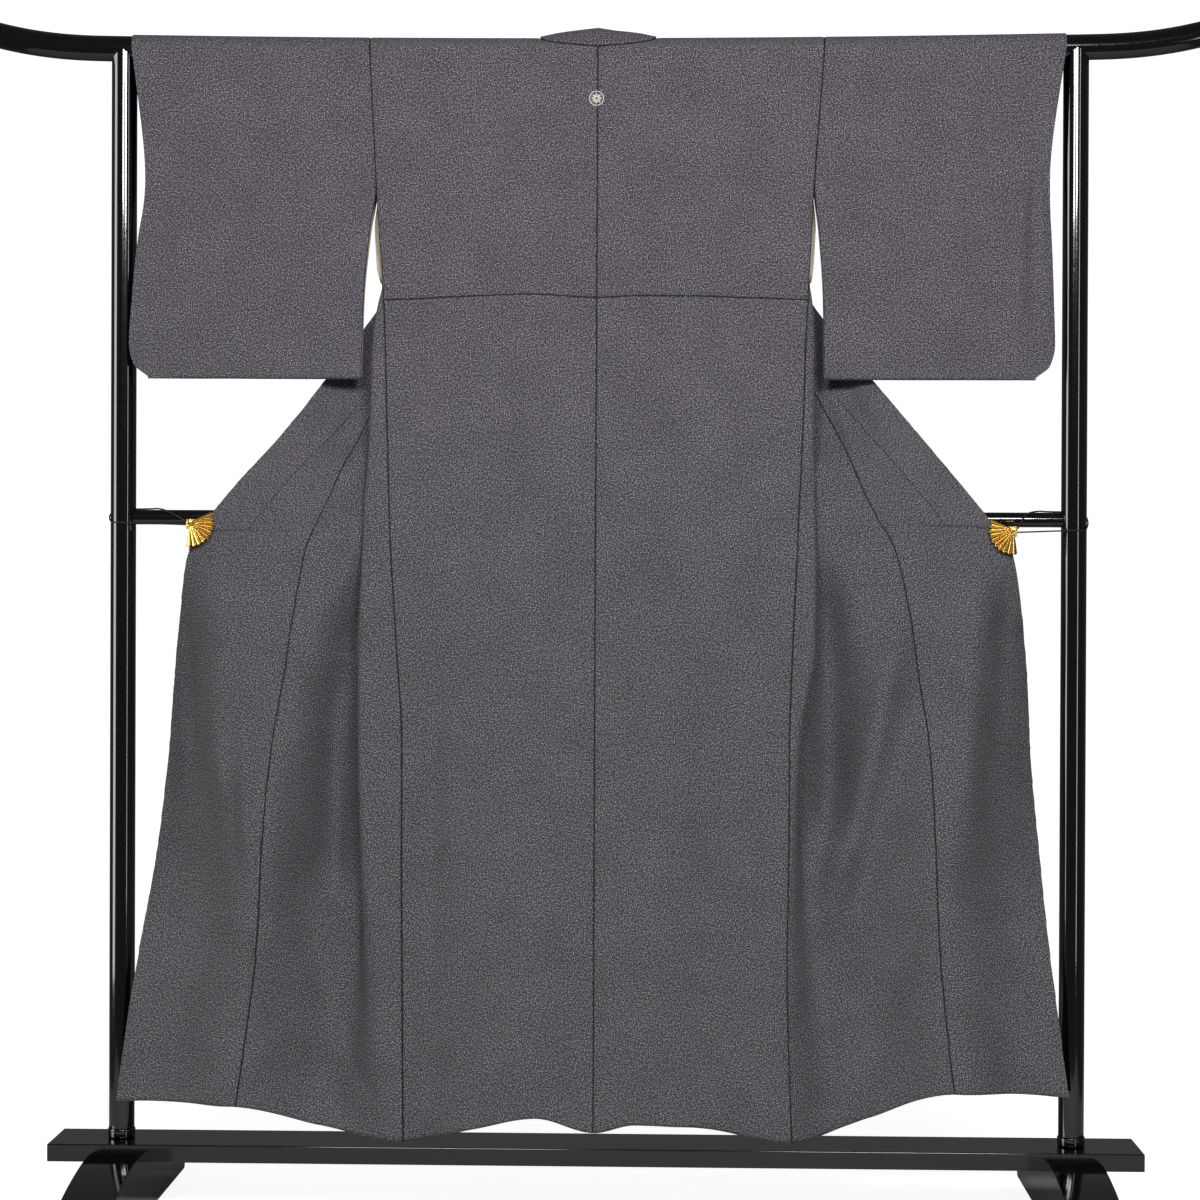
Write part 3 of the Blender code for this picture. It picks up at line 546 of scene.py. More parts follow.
def front_row(side, s, level):
    """One row of a front at cloth positions s, which its overlap and its collar share."""
    front = FRONT[side]
    hem = hem_at(front.at(s, 0.15)[:, 0])
    row = front.at(s, TOP * MM + (hem - TOP * MM) * share_down(level))
    part = SIDE_NAMES[side]
    x, z = row[:, 0], row[:, 2]
    shown = ramp((s - front.second_turn(z)) / (30 * MM))
    hung = ramp((1.3 - z) / 0.1)
    row[:, 1] += hung * shown * (crease_depth(part, x, z) + wave_depth(part, x, z))
    return row


def level_z(side, s, level):
    return float(front_row(side, np.array([s]), level)[0, 2])


def placed(side, level, start, finish, columns):
    """Cloth positions from start to finish, closer together in the fold's two turns."""
    z = level_z(side, start, level)
    turn = float(curve_through(FRONTS[side], "turn", z, FRONT_COLUMNS))
    strip = float(curve_through(FRONTS[side], "strip", z, FRONT_COLUMNS))
    second = float(FRONT[side].second_turn(z))
    turns = ((strip + 0.15 * turn, 0.6 * turn), (second + 0.5 * turn, 0.6 * turn))
    return spread(start, finish, columns, turns)


def over_bar(x, angle):
    """Points round the top bar, from level at the back (0 degrees) over its top (90) to the front (180)."""
    r = (BAR_R + 0.3 * MM + CLOTH_T / 2) / math.cos(math.radians(BAR_CHORD))
    turn = math.radians(angle)
    x = np.asarray(x, float)
    return np.stack([x, 0 * x - r * math.cos(turn), bar_axis(x) + r * math.sin(turn)], axis=-1)


def neck_x(angle):
    """The neckline's distance from the middle where the cloth lies at an angle round the bar."""
    left = np.clip((NECK_ANGLE - angle) / (NECK_ANGLE - BACK_ANGLE), 0, 1)
    return NECK_HALF * (1 - left**4)


def body_points(side, columns):
    """One long panel: up the back from its hem, over the bar and down the front to the front's hem."""
    levels = levels_between(TOP, NOMINAL_HEM)
    rows = [back_row(side, columns, level) for level in reversed(levels)]
    outer = seam_x(side, BAR_Z) - TOUCH / 2
    for angle in np.linspace(BACK_ANGLE, FRONT_ANGLE, BAR_STEPS):
        inner = TOUCH / 2 + neck_x(angle)
        rows.append(over_bar(side * spread(inner, outer, columns), angle))
    for level in levels:
        s = placed(side, level, TOUCH, FRONT_W - TOUCH / 2, columns)
        rows.append(front_row(side, s[::-1], level))
    return np.array(rows)


def band_at(side, level):
    """The cloth positions of a front's outermost edge and of the collar's seam, at one row."""
    z = level_z(side, FRONT_W, level)
    band = float(curve_through(FRONTS[side], "band", z, FRONT_COLUMNS))
    span = COLLAR_W * (1 + COLLAR_SPREAD * float(ramp((BAR_Z - z) / 0.1)))
    return FRONT_W + band, max(FRONT_W + band - span, FRONT_W)


def overlap_points(side, columns):
    """The overlap from its hem to its point; above the collar's end its edge is the collar's seam."""
    rows = []
    for level in levels_between(OVERLAP_TOP, NOMINAL_HEM):
        edge, collar_seam = band_at(side, level)
        outer = collar_seam - TOUCH / 2 if level >= COLLAR_END else edge
        outer = max(outer, FRONT_W + OVERLAP_POINT_W)
        rows.append(front_row(side, spread(FRONT_W + TOUCH / 2, outer, columns), level))
    return np.array(rows)


def collar_row(side, level, columns):
    """The collar's points at one row of a front, from its seam to its outer edge."""
    edge, seam = band_at(side, level)
    if level <= OVERLAP_TOP:
        seam = max(seam, FRONT_W + OVERLAP_POINT_W)
    return front_row(side, placed(side, level, seam + TOUCH / 2, edge, columns), level)


NECK_EDGE_Y = 21 * MM  # the collar's free edge stands this far towards the wearer's front
NECK_PEAK = 6  # millimetres that the collar rises in the middle of the neck
NECK_DENT = 3


def neck_row(side, angle, columns):
    """The collar's points where it stands round the neck, at one place round the bar."""
    lean = float(ramp((angle - BACK_ANGLE) / (NECK_ANGLE - BACK_ANGLE)))
    peak = 1 - neck_x(angle) / NECK_HALF
    dent = NECK_DENT * peak * float(ramp((1 - peak) * 8)) if side > 0 else 0
    neck = side * (neck_x(angle) - 0.45 * MM * lean)
    seam = Vector(over_bar(neck, angle + 1.8 * (1 - lean)))
    if angle <= NECK_ANGLE:
        edge_up = (25 - 4 * lean + NECK_PEAK * peak - dent) * MM
        edge = Vector((neck * (0.7 - 0.25 * lean), NECK_EDGE_Y, BAR_Z + edge_up))
        rise = Vector((0, -1.5 * MM * (1 - lean), (7 - 3.25 * lean + NECK_PEAK * peak) * MM))
    else:
        drop = (angle - NECK_ANGLE) / (FRONT_ANGLE - NECK_ANGLE)
        edge = Vector((side * (37 - 9 * drop) * MM, NECK_EDGE_Y, BAR_Z + (21 - 25 * drop) * MM))
        rise = Vector((0, 2 * MM, 4 * MM * (1 - drop)))
    shares = np.linspace(0, 1, columns)
    return np.array([seam.lerp(edge, t) + rise * math.sin(math.pi * t) for t in shares])


def collar_points(columns, end):
    """The collar's length, from the left front's end round the neck to the right front's end."""
    levels = levels_between(TOP, end)
    angles = np.linspace(BACK_ANGLE, FRONT_ANGLE, BAR_STEPS)
    out = [collar_row(-1, level, columns) for level in reversed(levels)]
    out += [neck_row(-1, angle, columns) for angle in reversed(angles)]
    out += [neck_row(1, angle, columns) for angle in angles[1:]]
    out += [collar_row(1, level, columns) for level in levels]
    return np.array(out)


def outward(points):
    """The directions that point out of the cloth. A fifth of the way along, its outside faces -Y."""
    across = np.cross(np.gradient(points, axis=0), np.gradient(points, axis=1))
    across = across / np.maximum(np.linalg.norm(across, axis=2, keepdims=True), 1e-12)
    return across * -np.sign(across[points.shape[0] // 5, points.shape[1] // 2, 1])


def sleeve_points(side, columns):
    """Closed rings of cloth: down the back, round the bottom, up the front and over the bar."""
    high, low = SLEEVE_ROWS
    heights = np.concatenate([np.arange(high, low + 24, -ROW_STEP), np.linspace(low + 20, low, 9)])
    layers = [(z, -1, 0) for z in heights] + [(SLEEVE_LOWEST + 0.8, -0.7, 0), (SLEEVE_LOWEST, 0, 0)]
    layers += [(SLEEVE_LOWEST + 0.8, 0.7, 0)] + [(z, 1, 0) for z in reversed(heights)]
    layers += [(0, 0, angle) for angle in np.linspace(FRONT_ANGLE, 0, BAR_STEPS)[1:-1]]
    across = spread(0, 0.33, columns) / 0.33
    part = "sleeve_" + SIDE_NAMES[side]
    out = []
    for level, layer, angle in layers:
        level = level * MM if level else BAR_Z
        inner = curve_through(SLEEVES[side], "inner", level, SLEEVE_COLUMNS) + TOUCH / 2
        if level > SLEEVE_SEAM_Z:
            inner = seam_x(side, level) + TOUCH / 2
        outer = curve_through(SLEEVES[side], "outer", level, SLEEVE_COLUMNS)
        x = side * (inner + (outer - inner) * across)
        if angle:
            out.append(over_bar(x, angle))
            continue
        z = level + (bar_axis(x) - BAR_Z) * ramp((level - BOWED_FROM) / (BAR_Z - BOWED_FROM))
        down = ramp((BAR_Z - level) / (BAR_Z - NARROW_Z))
        half = over_bar(0, 180)[1] * (1 - down) + SLEEVE_HALF_GAP * down
        shut = ramp((SLEEVE_SEAM_Z - level) / SHUT_OVER) * ramp((across - 0.8) / 0.2)
        half = half * (1 - shut) + (CLOTH_T / 2 + 0.05 * MM) * shut
        swing = INNER_SWING + (SLEEVE_SWING[side] - INNER_SWING) * across
        middle = -swing * ramp((SWING_FROM - level) / SWING_OVER)
        free = ramp((BAR_Z - level) / 0.12) * ramp(across / 0.06)
        moved = free * (crease_depth(part, x, z) + wave_depth(part, x, z))
        out.append(np.stack([x, middle + layer * half + moved, z], axis=-1))
    return np.array(out)


print("rows down a front:", len(levels_between(TOP, NOMINAL_HEM)))

# %% [markdown]
# ## From points to cloth
#
# Two panels meet at a seam in a small valley, because the allowances behind it pull the cloth in. Sinking
# the edge columns by a millimetre gives that valley in the mesh. A Solidify modifier then gives the wall its
# thickness and puts the lining's finish on the inside. One UV map holds the cloth's own length and width in
# metres, so that the weave follows the cloth, and a second one holds the distance to the nearest seam.

# %% Meshes and pieces
def grid_faces(rows, columns, closed, flipped):
    faces = []
    for i in range(rows if closed else rows - 1):
        k = (i + 1) % rows
        for j in range(columns - 1):
            face = (i * columns + j, k * columns + j, k * columns + j + 1, i * columns + j + 1)
            faces.append(face[::-1] if flipped else face)
    return faces


def lengths_along(points, axis):
    """The distance walked along a grid's rows or columns."""
    step = np.linalg.norm(np.diff(points, axis=axis), axis=2)
    start = np.zeros_like(np.take(step, [0], axis=axis))
    return np.concatenate([start, np.cumsum(step, axis=axis)], axis=axis)


def write_uv(mesh, name, across, along):
    """A UV map from two numbers at every point of a grid."""
    corner = np.zeros(len(mesh.loops), int)
    mesh.loops.foreach_get("vertex_index", corner)
    values = np.stack([across, along], axis=-1).reshape(-1, 2)
    uv = mesh.uv_layers.new(name=name)
    uv.data.foreach_set("uv", values[corner].astype(np.float32).ravel())


def stand_in(name, mesh, node):
    """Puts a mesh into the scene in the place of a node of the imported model."""
    mesh.polygons.foreach_set("use_smooth", np.ones(len(mesh.polygons), bool))
    mesh.update()
    piece = bpy.data.objects.new(name, mesh)
    bpy.context.scene.collection.objects.link(piece)
    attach(piece, "root")
    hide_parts(node)
    print(name, "faces", len(mesh.polygons))
    return piece


def give_wall(piece, thickness):
    """Turns a sheet of points into a wall with half of its thickness on each side."""
    wall = piece.modifiers.new("wall", "SOLIDIFY")
    wall.thickness = thickness
    wall.offset = 0
    return wall


print("helpers are ready for", len(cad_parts), "nodes")

# %% Cloth builder
SEAM_SINK = 1.0 * MM
SEAM_REACH = 1.6 * MM
FAR_FROM_SEAM = 50 * MM
CUT_STEP = 0.71  # every panel is cut at another place of the bolt, so no two panels share a grain
BOTH = ("first", "last")


def cloth(name, points, looks, node, slot="silk", seams=BOTH, thickness=CLOTH_T, closed=False, lines=None):
    """A sheet through a grid of points, with half of its wall on each side of them.

    seams says which edge columns are sewn. lines holds each row's distance from a line of stitching that
    runs across the cloth.
    """
    across = lengths_along(points, 1)
    along = lengths_along(points, 0)
    normal = outward(points)
    raw = np.cross(points[2, 0] - points[0, 0], points[1, 1] - points[1, 0])
    flipped = float(raw @ normal[1, 0]) < 0
    from_seam = np.full(across.shape, FAR_FROM_SEAM)
    if "first" in seams:
        from_seam = np.minimum(from_seam, across)
    if "last" in seams:
        from_seam = np.minimum(from_seam, across[:, -1:] - across)
    if lines is not None:
        from_seam = np.minimum(from_seam, lines[:, None])
    sink = SEAM_SINK * np.exp(-((from_seam / SEAM_REACH) ** 2))
    points = points - normal * sink[..., None]

    rows, columns = points.shape[:2]
    mesh = bpy.data.meshes.new(name)
    mesh.from_pydata(points.reshape(-1, 3).tolist(), [], grid_faces(rows, columns, closed, flipped))
    for look in looks:
        mesh.materials.append(look)
    cut_at = CUT_STEP * len(bpy.data.meshes)
    write_uv(mesh, "cloth", across + cut_at, along.mean(1, keepdims=True) + cut_at + 0 * across)
    write_uv(mesh, "seam", from_seam, 0 * from_seam)
    piece = stand_in(name, mesh, node)
    wall = give_wall(piece, thickness)
    wall.use_quality_normals = True
    wall.material_offset = 1
    return piece


print("a seam sinks", SEAM_SINK / MM, "mm into the cloth")


# %% [markdown]
# ## A helper for materials
#
# A procedural material is a small graph of nodes. One function adds a node with its settings and links, so
# each material below reads as a list of what it is made of. Colours are written as sRGB hex, as a picker
# shows them, and one function turns them into the linear values that a renderer adds up.

# %% Colours and nodes
def linear(code):
    """A linear colour from an sRGB hex code."""
    parts = [int(code[i : i + 2], 16) / 255 for i in (1, 3, 5)]
    return (*[c / 12.92 if c <= 0.04045 else ((c + 0.055) / 1.055) ** 2.4 for c in parts], 1)


def new_material(name):
    made = bpy.data.materials.new(name)
    made.use_nodes = True
    made.node_tree.nodes.clear()
    return made


def add(material, kind, settings=None, **links):
    """Adds a node. A link or value is named for its socket, with _ for a space, or in_0 for its number."""
    node = material.node_tree.nodes.new("ShaderNode" + kind)
    for key, value in (settings or {}).items():
        setattr(node, key, value)
    for key, value in links.items():
        if key.startswith("in_"):
            socket = node.inputs[int(key[3:])]
        else:
            socket = node.inputs[key.replace("_", " ")]
        if isinstance(value, bpy.types.NodeSocket):
            material.node_tree.links.new(value, socket)
        else:
            socket.default_value = value
    return node


def stops(ramp_node, *places):
    """Sets a colour ramp's stops, each a place and a hex code."""
    elements = ramp_node.color_ramp.elements
    while len(elements) > len(places):
        elements.remove(elements[-1])
    while len(elements) < len(places):
        elements.new(1)
    for element, (place, code) in zip(elements, places):
        element.position = place
        element.color = linear(code)
    return ramp_node.outputs["Color"]


def per_metre(size_mm):
    """The scale that gives a pattern's cell a size in millimetres, on coordinates in metres."""
    return 1000 / size_mm


SMOOTH = {"interpolation_type": "SMOOTHSTEP"}
COLOURS = {"data_type": "RGBA"}
BAND_TURN = 6.28  # a wave texture has about this many bands to a unit
print("shared settings:", SMOOTH, COLOURS)


# %% [markdown]
# ## Dyed silk crepe
#
# The cloth is silk crepe: its weft threads are twisted so hard that they shrink into a fine pebbled grain
# when the cloth is washed. That gives a matt face with a faint bloom at grazing angles. The dye sits in the
# grain as light and dark specks. The real grain is under a millimetre, too fine to show here, so the specks
# are drawn about two millimetres wide. The colour turns a little darker and less violet from the shoulders to
# the hem.

# %% Silk crepe
GRAIN_MM = 1.8
FINE_GRAIN_MM = 1.2
SLUB_MM = 3.0
CLOUD_MM = 70
TINT_MM = 4.0  # the dye takes a little warmer or cooler from thread to thread
TONE_Z = (0.7, 1.5)  # between these heights the colour turns from the hem's darker, greyer tone to the shoulders'
SEAM_SHADE_REACH = (0.3 * MM, 2.1 * MM)  # a seam's painted shadow is full up to the first distance and gone at the second
SEAM_SHADE_DARKEST = 0.06
ROUNDEL = (-0.0015, 1.5865)  # across and up
ROUNDEL_R = 10.6 * MM
ROUNDEL_RING = 1.5 * MM
ROUNDEL_HEART = 1.5 * MM
PETALS = 8
PETAL_START = 4.6 * MM
PETAL_LONG = 2.6 * MM


def silk(name, roundel=False):
    made = new_material(name)
    place = add(made, "UVMap", {"uv_map": "cloth"}).outputs["UV"]
    frame_place = add(made, "TexCoord").outputs["Object"]
    axes = add(made, "SeparateXYZ", in_0=frame_place)

    grain = add(made, "TexNoise", Vector=place, Scale=per_metre(GRAIN_MM), Detail=2.0, Roughness=0.65)
    specks = stops(
        add(made, "ValToRGB", Fac=grain.outputs["Fac"]),
        (0.34, "#19171b"),
        (0.46, "#413e44"),
        (0.54, "#656369"),
        (0.67, "#bab5bd"),
    )
    low_specks = stops(
        add(made, "ValToRGB", Fac=grain.outputs["Fac"]),
        (0.34, "#171718"),
        (0.46, "#3e3e41"),
        (0.54, "#626265"),
        (0.67, "#b4b3b8"),
    )
    # Darker and less violet towards the hem: the speck colours are mixed by height.
    height = add(made, "MapRange", SMOOTH, Value=axes.outputs["Z"], From_Min=TONE_Z[0], From_Max=TONE_Z[1])
    dyed = add(made, "Mix", COLOURS, Factor=height.outputs["Result"], in_6=low_specks, in_7=specks)

    cloud = add(made, "TexNoise", Vector=place, Scale=per_metre(CLOUD_MM), Detail=3.0)
    slubs = {"Scale": per_metre(SLUB_MM) / BAND_TURN, "Distortion": 3.0, "Detail": 2.0}
    slub = add(made, "TexWave", {"bands_direction": "Y"}, Vector=place, **slubs)
    clouds = {"From_Min": 0.3, "From_Max": 0.7, "To_Min": 0.9, "To_Max": 1.08}
    tone = add(made, "MapRange", Value=cloud.outputs["Fac"], **clouds)
    thread = add(made, "MapRange", Value=slub.outputs["Fac"], To_Min=0.95, To_Max=1.04)
    tone = tone.outputs["Result"]
    shade = add(made, "Math", {"operation": "MULTIPLY"}, in_0=tone, in_1=thread.outputs["Result"])

    # Painted shade: within about two millimetres of each seam and of the tuck, the silk is darkened for the
    # shadow in the seam's groove.
    seam = add(made, "SeparateXYZ", in_0=add(made, "UVMap", {"uv_map": "seam"}).outputs["UV"])
    seam_shade_range = {"From_Min": SEAM_SHADE_REACH[0], "From_Max": SEAM_SHADE_REACH[1], "To_Min": SEAM_SHADE_DARKEST}
    seam_shade = add(made, "MapRange", SMOOTH, Value=seam.outputs["X"], **seam_shade_range)
    shade = add(made, "Math", {"operation": "MULTIPLY"}, in_0=shade.outputs[0], in_1=seam_shade.outputs["Result"])
    tint_noise = add(made, "TexNoise", Vector=place, Scale=per_metre(TINT_MM), Detail=1.0)
    tint = stops(add(made, "ValToRGB", Fac=tint_noise.outputs["Fac"]), (0.3, "#f0edff"), (0.7, "#fff8ee"))
    tinted = add(made, "VectorMath", {"operation": "MULTIPLY"}, in_0=dyed.outputs[2], in_1=tint).outputs[0]
    colour = add(made, "VectorMath", {"operation": "SCALE"}, in_0=tinted, Scale=shade.outputs[0]).outputs[0]
    if roundel:
        colour = roundel_over(made, axes, colour, grain.outputs["Fac"])

    pebble = add(made, "TexNoise", Vector=place, Scale=per_metre(FINE_GRAIN_MM), Detail=2.0)
    bump = add(made, "Bump", Height=pebble.outputs["Fac"], Strength=0.5, Distance=0.25 * MM)
    shader = add(
        made,
        "BsdfPrincipled",
        Base_Color=colour,
        Roughness=0.78,
        Specular_IOR_Level=0.3,
        Sheen_Weight=0.08,
        Sheen_Roughness=0.45,
        Normal=bump.outputs["Normal"],
    )
    add(made, "OutputMaterial", Surface=shader.outputs[0])
    return made


def roundel_over(made, axes, colour, grain):
    """A plain undyed roundel: a ring round a rosette of eight petals, on the seam below the collar."""

    def calc(operation, *values):
        inputs = {f"in_{i}": value for i, value in enumerate(values)}
        return add(made, "Math", {"operation": operation}, **inputs).outputs[0]

    right = calc("SUBTRACT", axes.outputs["X"], ROUNDEL[0])
    high = calc("SUBTRACT", axes.outputs["Z"], ROUNDEL[1])
    away = calc("SQRT", calc("ADD", calc("MULTIPLY", right, right), calc("MULTIPLY", high, high)))
    turn = calc("ARCTAN2", high, right)
    petal = calc("ABSOLUTE", calc("COSINE", calc("MULTIPLY", turn, PETALS / 2)))
    rim = calc("ADD", calc("MULTIPLY", petal, PETAL_LONG), PETAL_START)
    flower = calc("LESS_THAN", away, rim)
    heart = calc("GREATER_THAN", away, ROUNDEL_HEART)
    flower = calc("MULTIPLY", flower, heart)
    within = calc("LESS_THAN", away, ROUNDEL_R)
    beyond = calc("GREATER_THAN", away, ROUNDEL_R - ROUNDEL_RING)
    ring = calc("MULTIPLY", within, beyond)
    at_back = calc("LESS_THAN", axes.outputs["Y"], 0.0)
    mask = calc("MULTIPLY", calc("MAXIMUM", flower, ring), at_back)
    undyed = stops(add(made, "ValToRGB", Fac=grain), (0.3, "#b9b2a6"), (0.7, "#eae5da"))
    return add(made, "Mix", COLOURS, Factor=mask, in_6=colour, in_7=undyed).outputs[2]


SILK = silk("dyed silk crepe")
ROUNDEL_SILK = silk("dyed silk crepe with roundel", roundel=True)
print("silk grain:", GRAIN_MM, "mm")

# %% [markdown]
# ## Lining silk
#
# A lined kimono has a plain undyed silk inside down to the knees, and below that a lining of the outer
# colour, which shows when the hem swings. Plain silk is thin and smooth, so it has a softer and brighter
# face than the crepe.

# %% Lining
THREAD_MM = 2.4
LOWER_LINING_Z = 0.86


def lining_silk(name):
    made = new_material(name)
    place = add(made, "UVMap", {"uv_map": "cloth"}).outputs["UV"]
    axes = add(made, "SeparateXYZ", in_0=add(made, "TexCoord").outputs["Object"])
    below = add(made, "Math", {"operation": "LESS_THAN"}, in_0=axes.outputs["Z"], in_1=LOWER_LINING_Z)
    thread = add(made, "TexNoise", Vector=place, Scale=per_metre(THREAD_MM), Detail=3.0)
    cream = stops(add(made, "ValToRGB", Fac=thread.outputs["Fac"]), (0.3, "#b7ad92"), (0.7, "#d2cab2"))
    grey = stops(add(made, "ValToRGB", Fac=thread.outputs["Fac"]), (0.3, "#56555a"), (0.7, "#77757a"))
    both = add(made, "Mix", COLOURS, Factor=below.outputs[0], in_6=cream, in_7=grey)
    bump = add(made, "Bump", Height=thread.outputs["Fac"], Strength=0.3, Distance=0.15 * MM)
    shader = add(
        made,
        "BsdfPrincipled",
        Base_Color=both.outputs[2],
        Roughness=0.55,
        Specular_IOR_Level=0.4,
        Sheen_Weight=0.15,
        Normal=bump.outputs["Normal"],
    )
    add(made, "OutputMaterial", Surface=shader.outputs[0])
    return made


LINING = lining_silk("plain silk lining")
print("materials so far:", len(bpy.data.materials))

# %% [markdown]
# ## Sew the garment
#
# Each panel becomes one piece of cloth.

# %% Bodies, overlaps and sleeves
levels = levels_between(TOP, NOMINAL_HEM)
tuck_line = np.full(2 * len(levels) + BAR_STEPS, FAR_FROM_SEAM)
tuck_line[: len(levels)] = np.abs(levels[::-1] - TUCK) * MM
for name, side in SIDES.items():
    body = body_points(side, BODY_COLUMNS)
    piece = cloth(f"silk_body_{name}", body, (ROUNDEL_SILK, LINING), f"body_{name}", lines=tuck_line)

    overlap = overlap_points(side, OVERLAP_COLUMNS)
    piece = cloth(f"silk_overlap_{name}", overlap, (SILK, LINING), f"overlap_{name}", seams=("first",))

    sleeve = sleeve_points(side, SLEEVE_CROSS_COLUMNS)
    looks = (SILK, LINING)
    piece = cloth(f"silk_sleeve_{name}", sleeve, looks, f"sleeve_{name}", seams=("first",), closed=True)

# %% [markdown]
# ## The lining in the side opening
#
# Below each sleeve the side is left open, and there the front turns back and shows its lining. It is a
# second sheet on the inside of the front, a third of a millimetre off it.

# %% Linings
LINING_GAP = 0.3 * MM
LINING_COLUMNS = 28
LINING_REACH = 100 * MM

for name, side in SIDES.items():
    rows = [
        front_row(side, placed(side, level, TOUCH, LINING_REACH, LINING_COLUMNS)[::-1], level)
        for level in levels_between(LINING_TOP, LINING_END)
    ]
    facing = outward(np.array(rows))
    inside = np.array(rows) - facing * (CLOTH_T / 2 + LINING_GAP + LINING_T / 2)
    wall = {"seams": (), "thickness": LINING_T}
    piece = cloth(f"silk_lining_{name}", inside, (LINING, LINING), f"lining_{name}", "lining", **wall)

# %% Collar
collar = collar_points(COLLAR_COLUMNS, COLLAR_END)
piece = cloth("silk_collar", collar, (SILK, LINING), "collar", seams=("first",))

band = collar_points(COLLAR_COLUMNS, OVER_COLLAR_END)
band = band + outward(band) * OVER_COLLAR_OUT
piece = cloth("silk_over_collar", band, (SILK, SILK), "over_collar", seams=(), thickness=OVER_COLLAR_T)

# %% [markdown]
# ## Black lacquer
#
# The stand is wood under several coats of black lacquer, rubbed down and polished. What one sees of it is
# almost only reflections, so the finish is a dark base under a hard clear coat. Faint waves left by the
# rubbing bend the reflections a little, and fine dust dulls them here and there.

# %% Lacquer
RUBBING_MM = 90
DUST_MM = 4


def lacquer_on_wood(name):
    made = new_material(name)
    place = add(made, "TexCoord").outputs["Object"]
    waves = add(made, "TexNoise", Vector=place, Scale=per_metre(RUBBING_MM), Detail=2.0)
    dust = add(made, "TexNoise", Vector=place, Scale=per_metre(DUST_MM), Detail=4.0)
    colour = stops(add(made, "ValToRGB", Fac=dust.outputs["Fac"]), (0.35, "#020203"), (0.75, "#060608"))
    rough = add(made, "MapRange", Value=dust.outputs["Fac"], To_Min=0.06, To_Max=0.14)
    bump = add(made, "Bump", Height=waves.outputs["Fac"], Strength=0.25, Distance=0.6 * MM)
    shader = add(
        made,
        "BsdfPrincipled",
        Base_Color=colour,
        Roughness=rough.outputs["Result"],
        IOR=1.52,
        Coat_Weight=0.6,
        Coat_Roughness=0.05,
        Normal=bump.outputs["Normal"],
    )
    add(made, "OutputMaterial", Surface=shader.outputs[0])
    return made


LACQUER = lacquer_on_wood("black lacquer on wood")
print("materials so far:", len(bpy.data.materials))

# %% [markdown]
# ## Turned and bent pieces of the stand
#
# The bar, the posts and their rings are all rows of circles joined up. A row of circles can bend along the
# bar's curve, shrink at a rounded end, and be cut off along another piece's surface, as where a post takes
# the bar in a saddle.

# %% Pieces from rings
POST_X = 675 * MM
POST_R = 18 * MM
RING_R = 19.5 * MM
RING_H = 14 * MM
MID_BAR_R = 10.5 * MM
MID_BAR_Z = 994 * MM
PLANK_HALF = 770 * MM
PLANK_DEPTH = 106 * MM
PLANK_Z = (84 * MM, 109 * MM)
GAP = 0.3 * MM
ROUND_SIDES = 96


def solid(name, vertices, faces, look, node, sharp=35):
    mesh = bpy.data.meshes.new(name)
    mesh.from_pydata([tuple(v) for v in vertices], [], faces)
    mesh.materials.append(look)
    mesh.update()
    form = bmesh.new()
    form.from_mesh(mesh)
    bmesh.ops.recalc_face_normals(form, faces=form.faces)
    form.to_mesh(mesh)
    form.free()
    piece = stand_in(name, mesh, node)
    mesh.set_sharp_from_angle(angle=math.radians(sharp))
    return piece


def prism_faces(count):
    """The ends and sides of a prism, whose points go round one end and then round the other."""
    faces = [tuple(range(count)), tuple(range(count, 2 * count))[::-1]]
    faces += [(i, (i + 1) % count, count + (i + 1) % count, count + i) for i in range(count)]
    return faces


def ring_faces(count, sides):
    faces = [tuple(range(sides))[::-1], tuple(range((count - 1) * sides, count * sides))]
    for i in range(count - 1):
        for j in range(sides):
            k = (j + 1) % sides
            faces.append((i * sides + j, i * sides + k, (i + 1) * sides + k, (i + 1) * sides + j))
    return faces


def rounded(start, finish, radius, edge, steps=6):
    """Places along a rod and its radius there, with both ends rounded by edge."""
    turn = np.linspace(0, math.pi / 2, steps)
    near = [(start + edge * (1 - math.sin(t)), radius - edge * (1 - math.cos(t))) for t in turn[::-1]]
    far = [(finish - edge * (1 - math.sin(t)), radius - edge * (1 - math.cos(t))) for t in turn]
    return near, far


def upright(profile, x, sides=ROUND_SIDES):
    """Rings of a turned piece, from (height, radius) pairs."""
    turn = np.linspace(0, 2 * math.pi, sides, endpoint=False)
    return np.array([[(x + r * math.cos(t), r * math.sin(t), z) for t in turn] for z, r in profile])


def from_rings(name, rings, look, node):
    return solid(name, rings.reshape(-1, 3), ring_faces(*rings.shape[:2]), look, node)


# %% Bars and posts
turn = np.linspace(0, 2 * math.pi, ROUND_SIDES, endpoint=False)
near, far = rounded(-BAR_HALF, BAR_HALF, BAR_R, 5 * MM)
places = near + [(x, BAR_R) for x in np.linspace(-BAR_HALF + 10 * MM, BAR_HALF - 10 * MM, 180)] + far
places = sorted(places, key=lambda pair: pair[0])
rings = []
for x, r in places:
    slope = float(bar_axis(x + MM) - bar_axis(x - MM)) / (2 * MM)
    lean = math.atan(slope)
    up = r * np.cos(turn)
    high = float(bar_axis(x))
    rings.append(np.stack([x - up * math.sin(lean), r * np.sin(turn), high + up * math.cos(lean)], axis=-1))
from_rings("lacquered_top_bar", np.array(rings), LACQUER, "top_bar")

for name, side in SIDES.items():
    low = PLANK_Z[1] + RING_H + 2 * GAP
    post = upright([(low, POST_R), (0.6, POST_R), (1.2, POST_R), (1.6, POST_R)], side * POST_X)
    for radius in (POST_R, 0.66 * POST_R, 0.33 * POST_R):
        top = upright([(0, radius)], side * POST_X)
        under_bar = np.sqrt(np.clip((BAR_R + GAP) ** 2 - top[..., 1] ** 2, 0, None))
        top[..., 2] = bar_axis(top[..., 0]) - under_bar
        post = np.concatenate([post, top])
    from_rings(f"lacquered_post_{name}", post, LACQUER, f"post_{name}")
    near, far = rounded(PLANK_Z[1] + GAP, low - GAP, RING_R, 2.5 * MM)
    ring = upright(near + far, side * POST_X)
    from_rings(f"lacquered_post_ring_{name}", ring, LACQUER, f"post_ring_{name}")

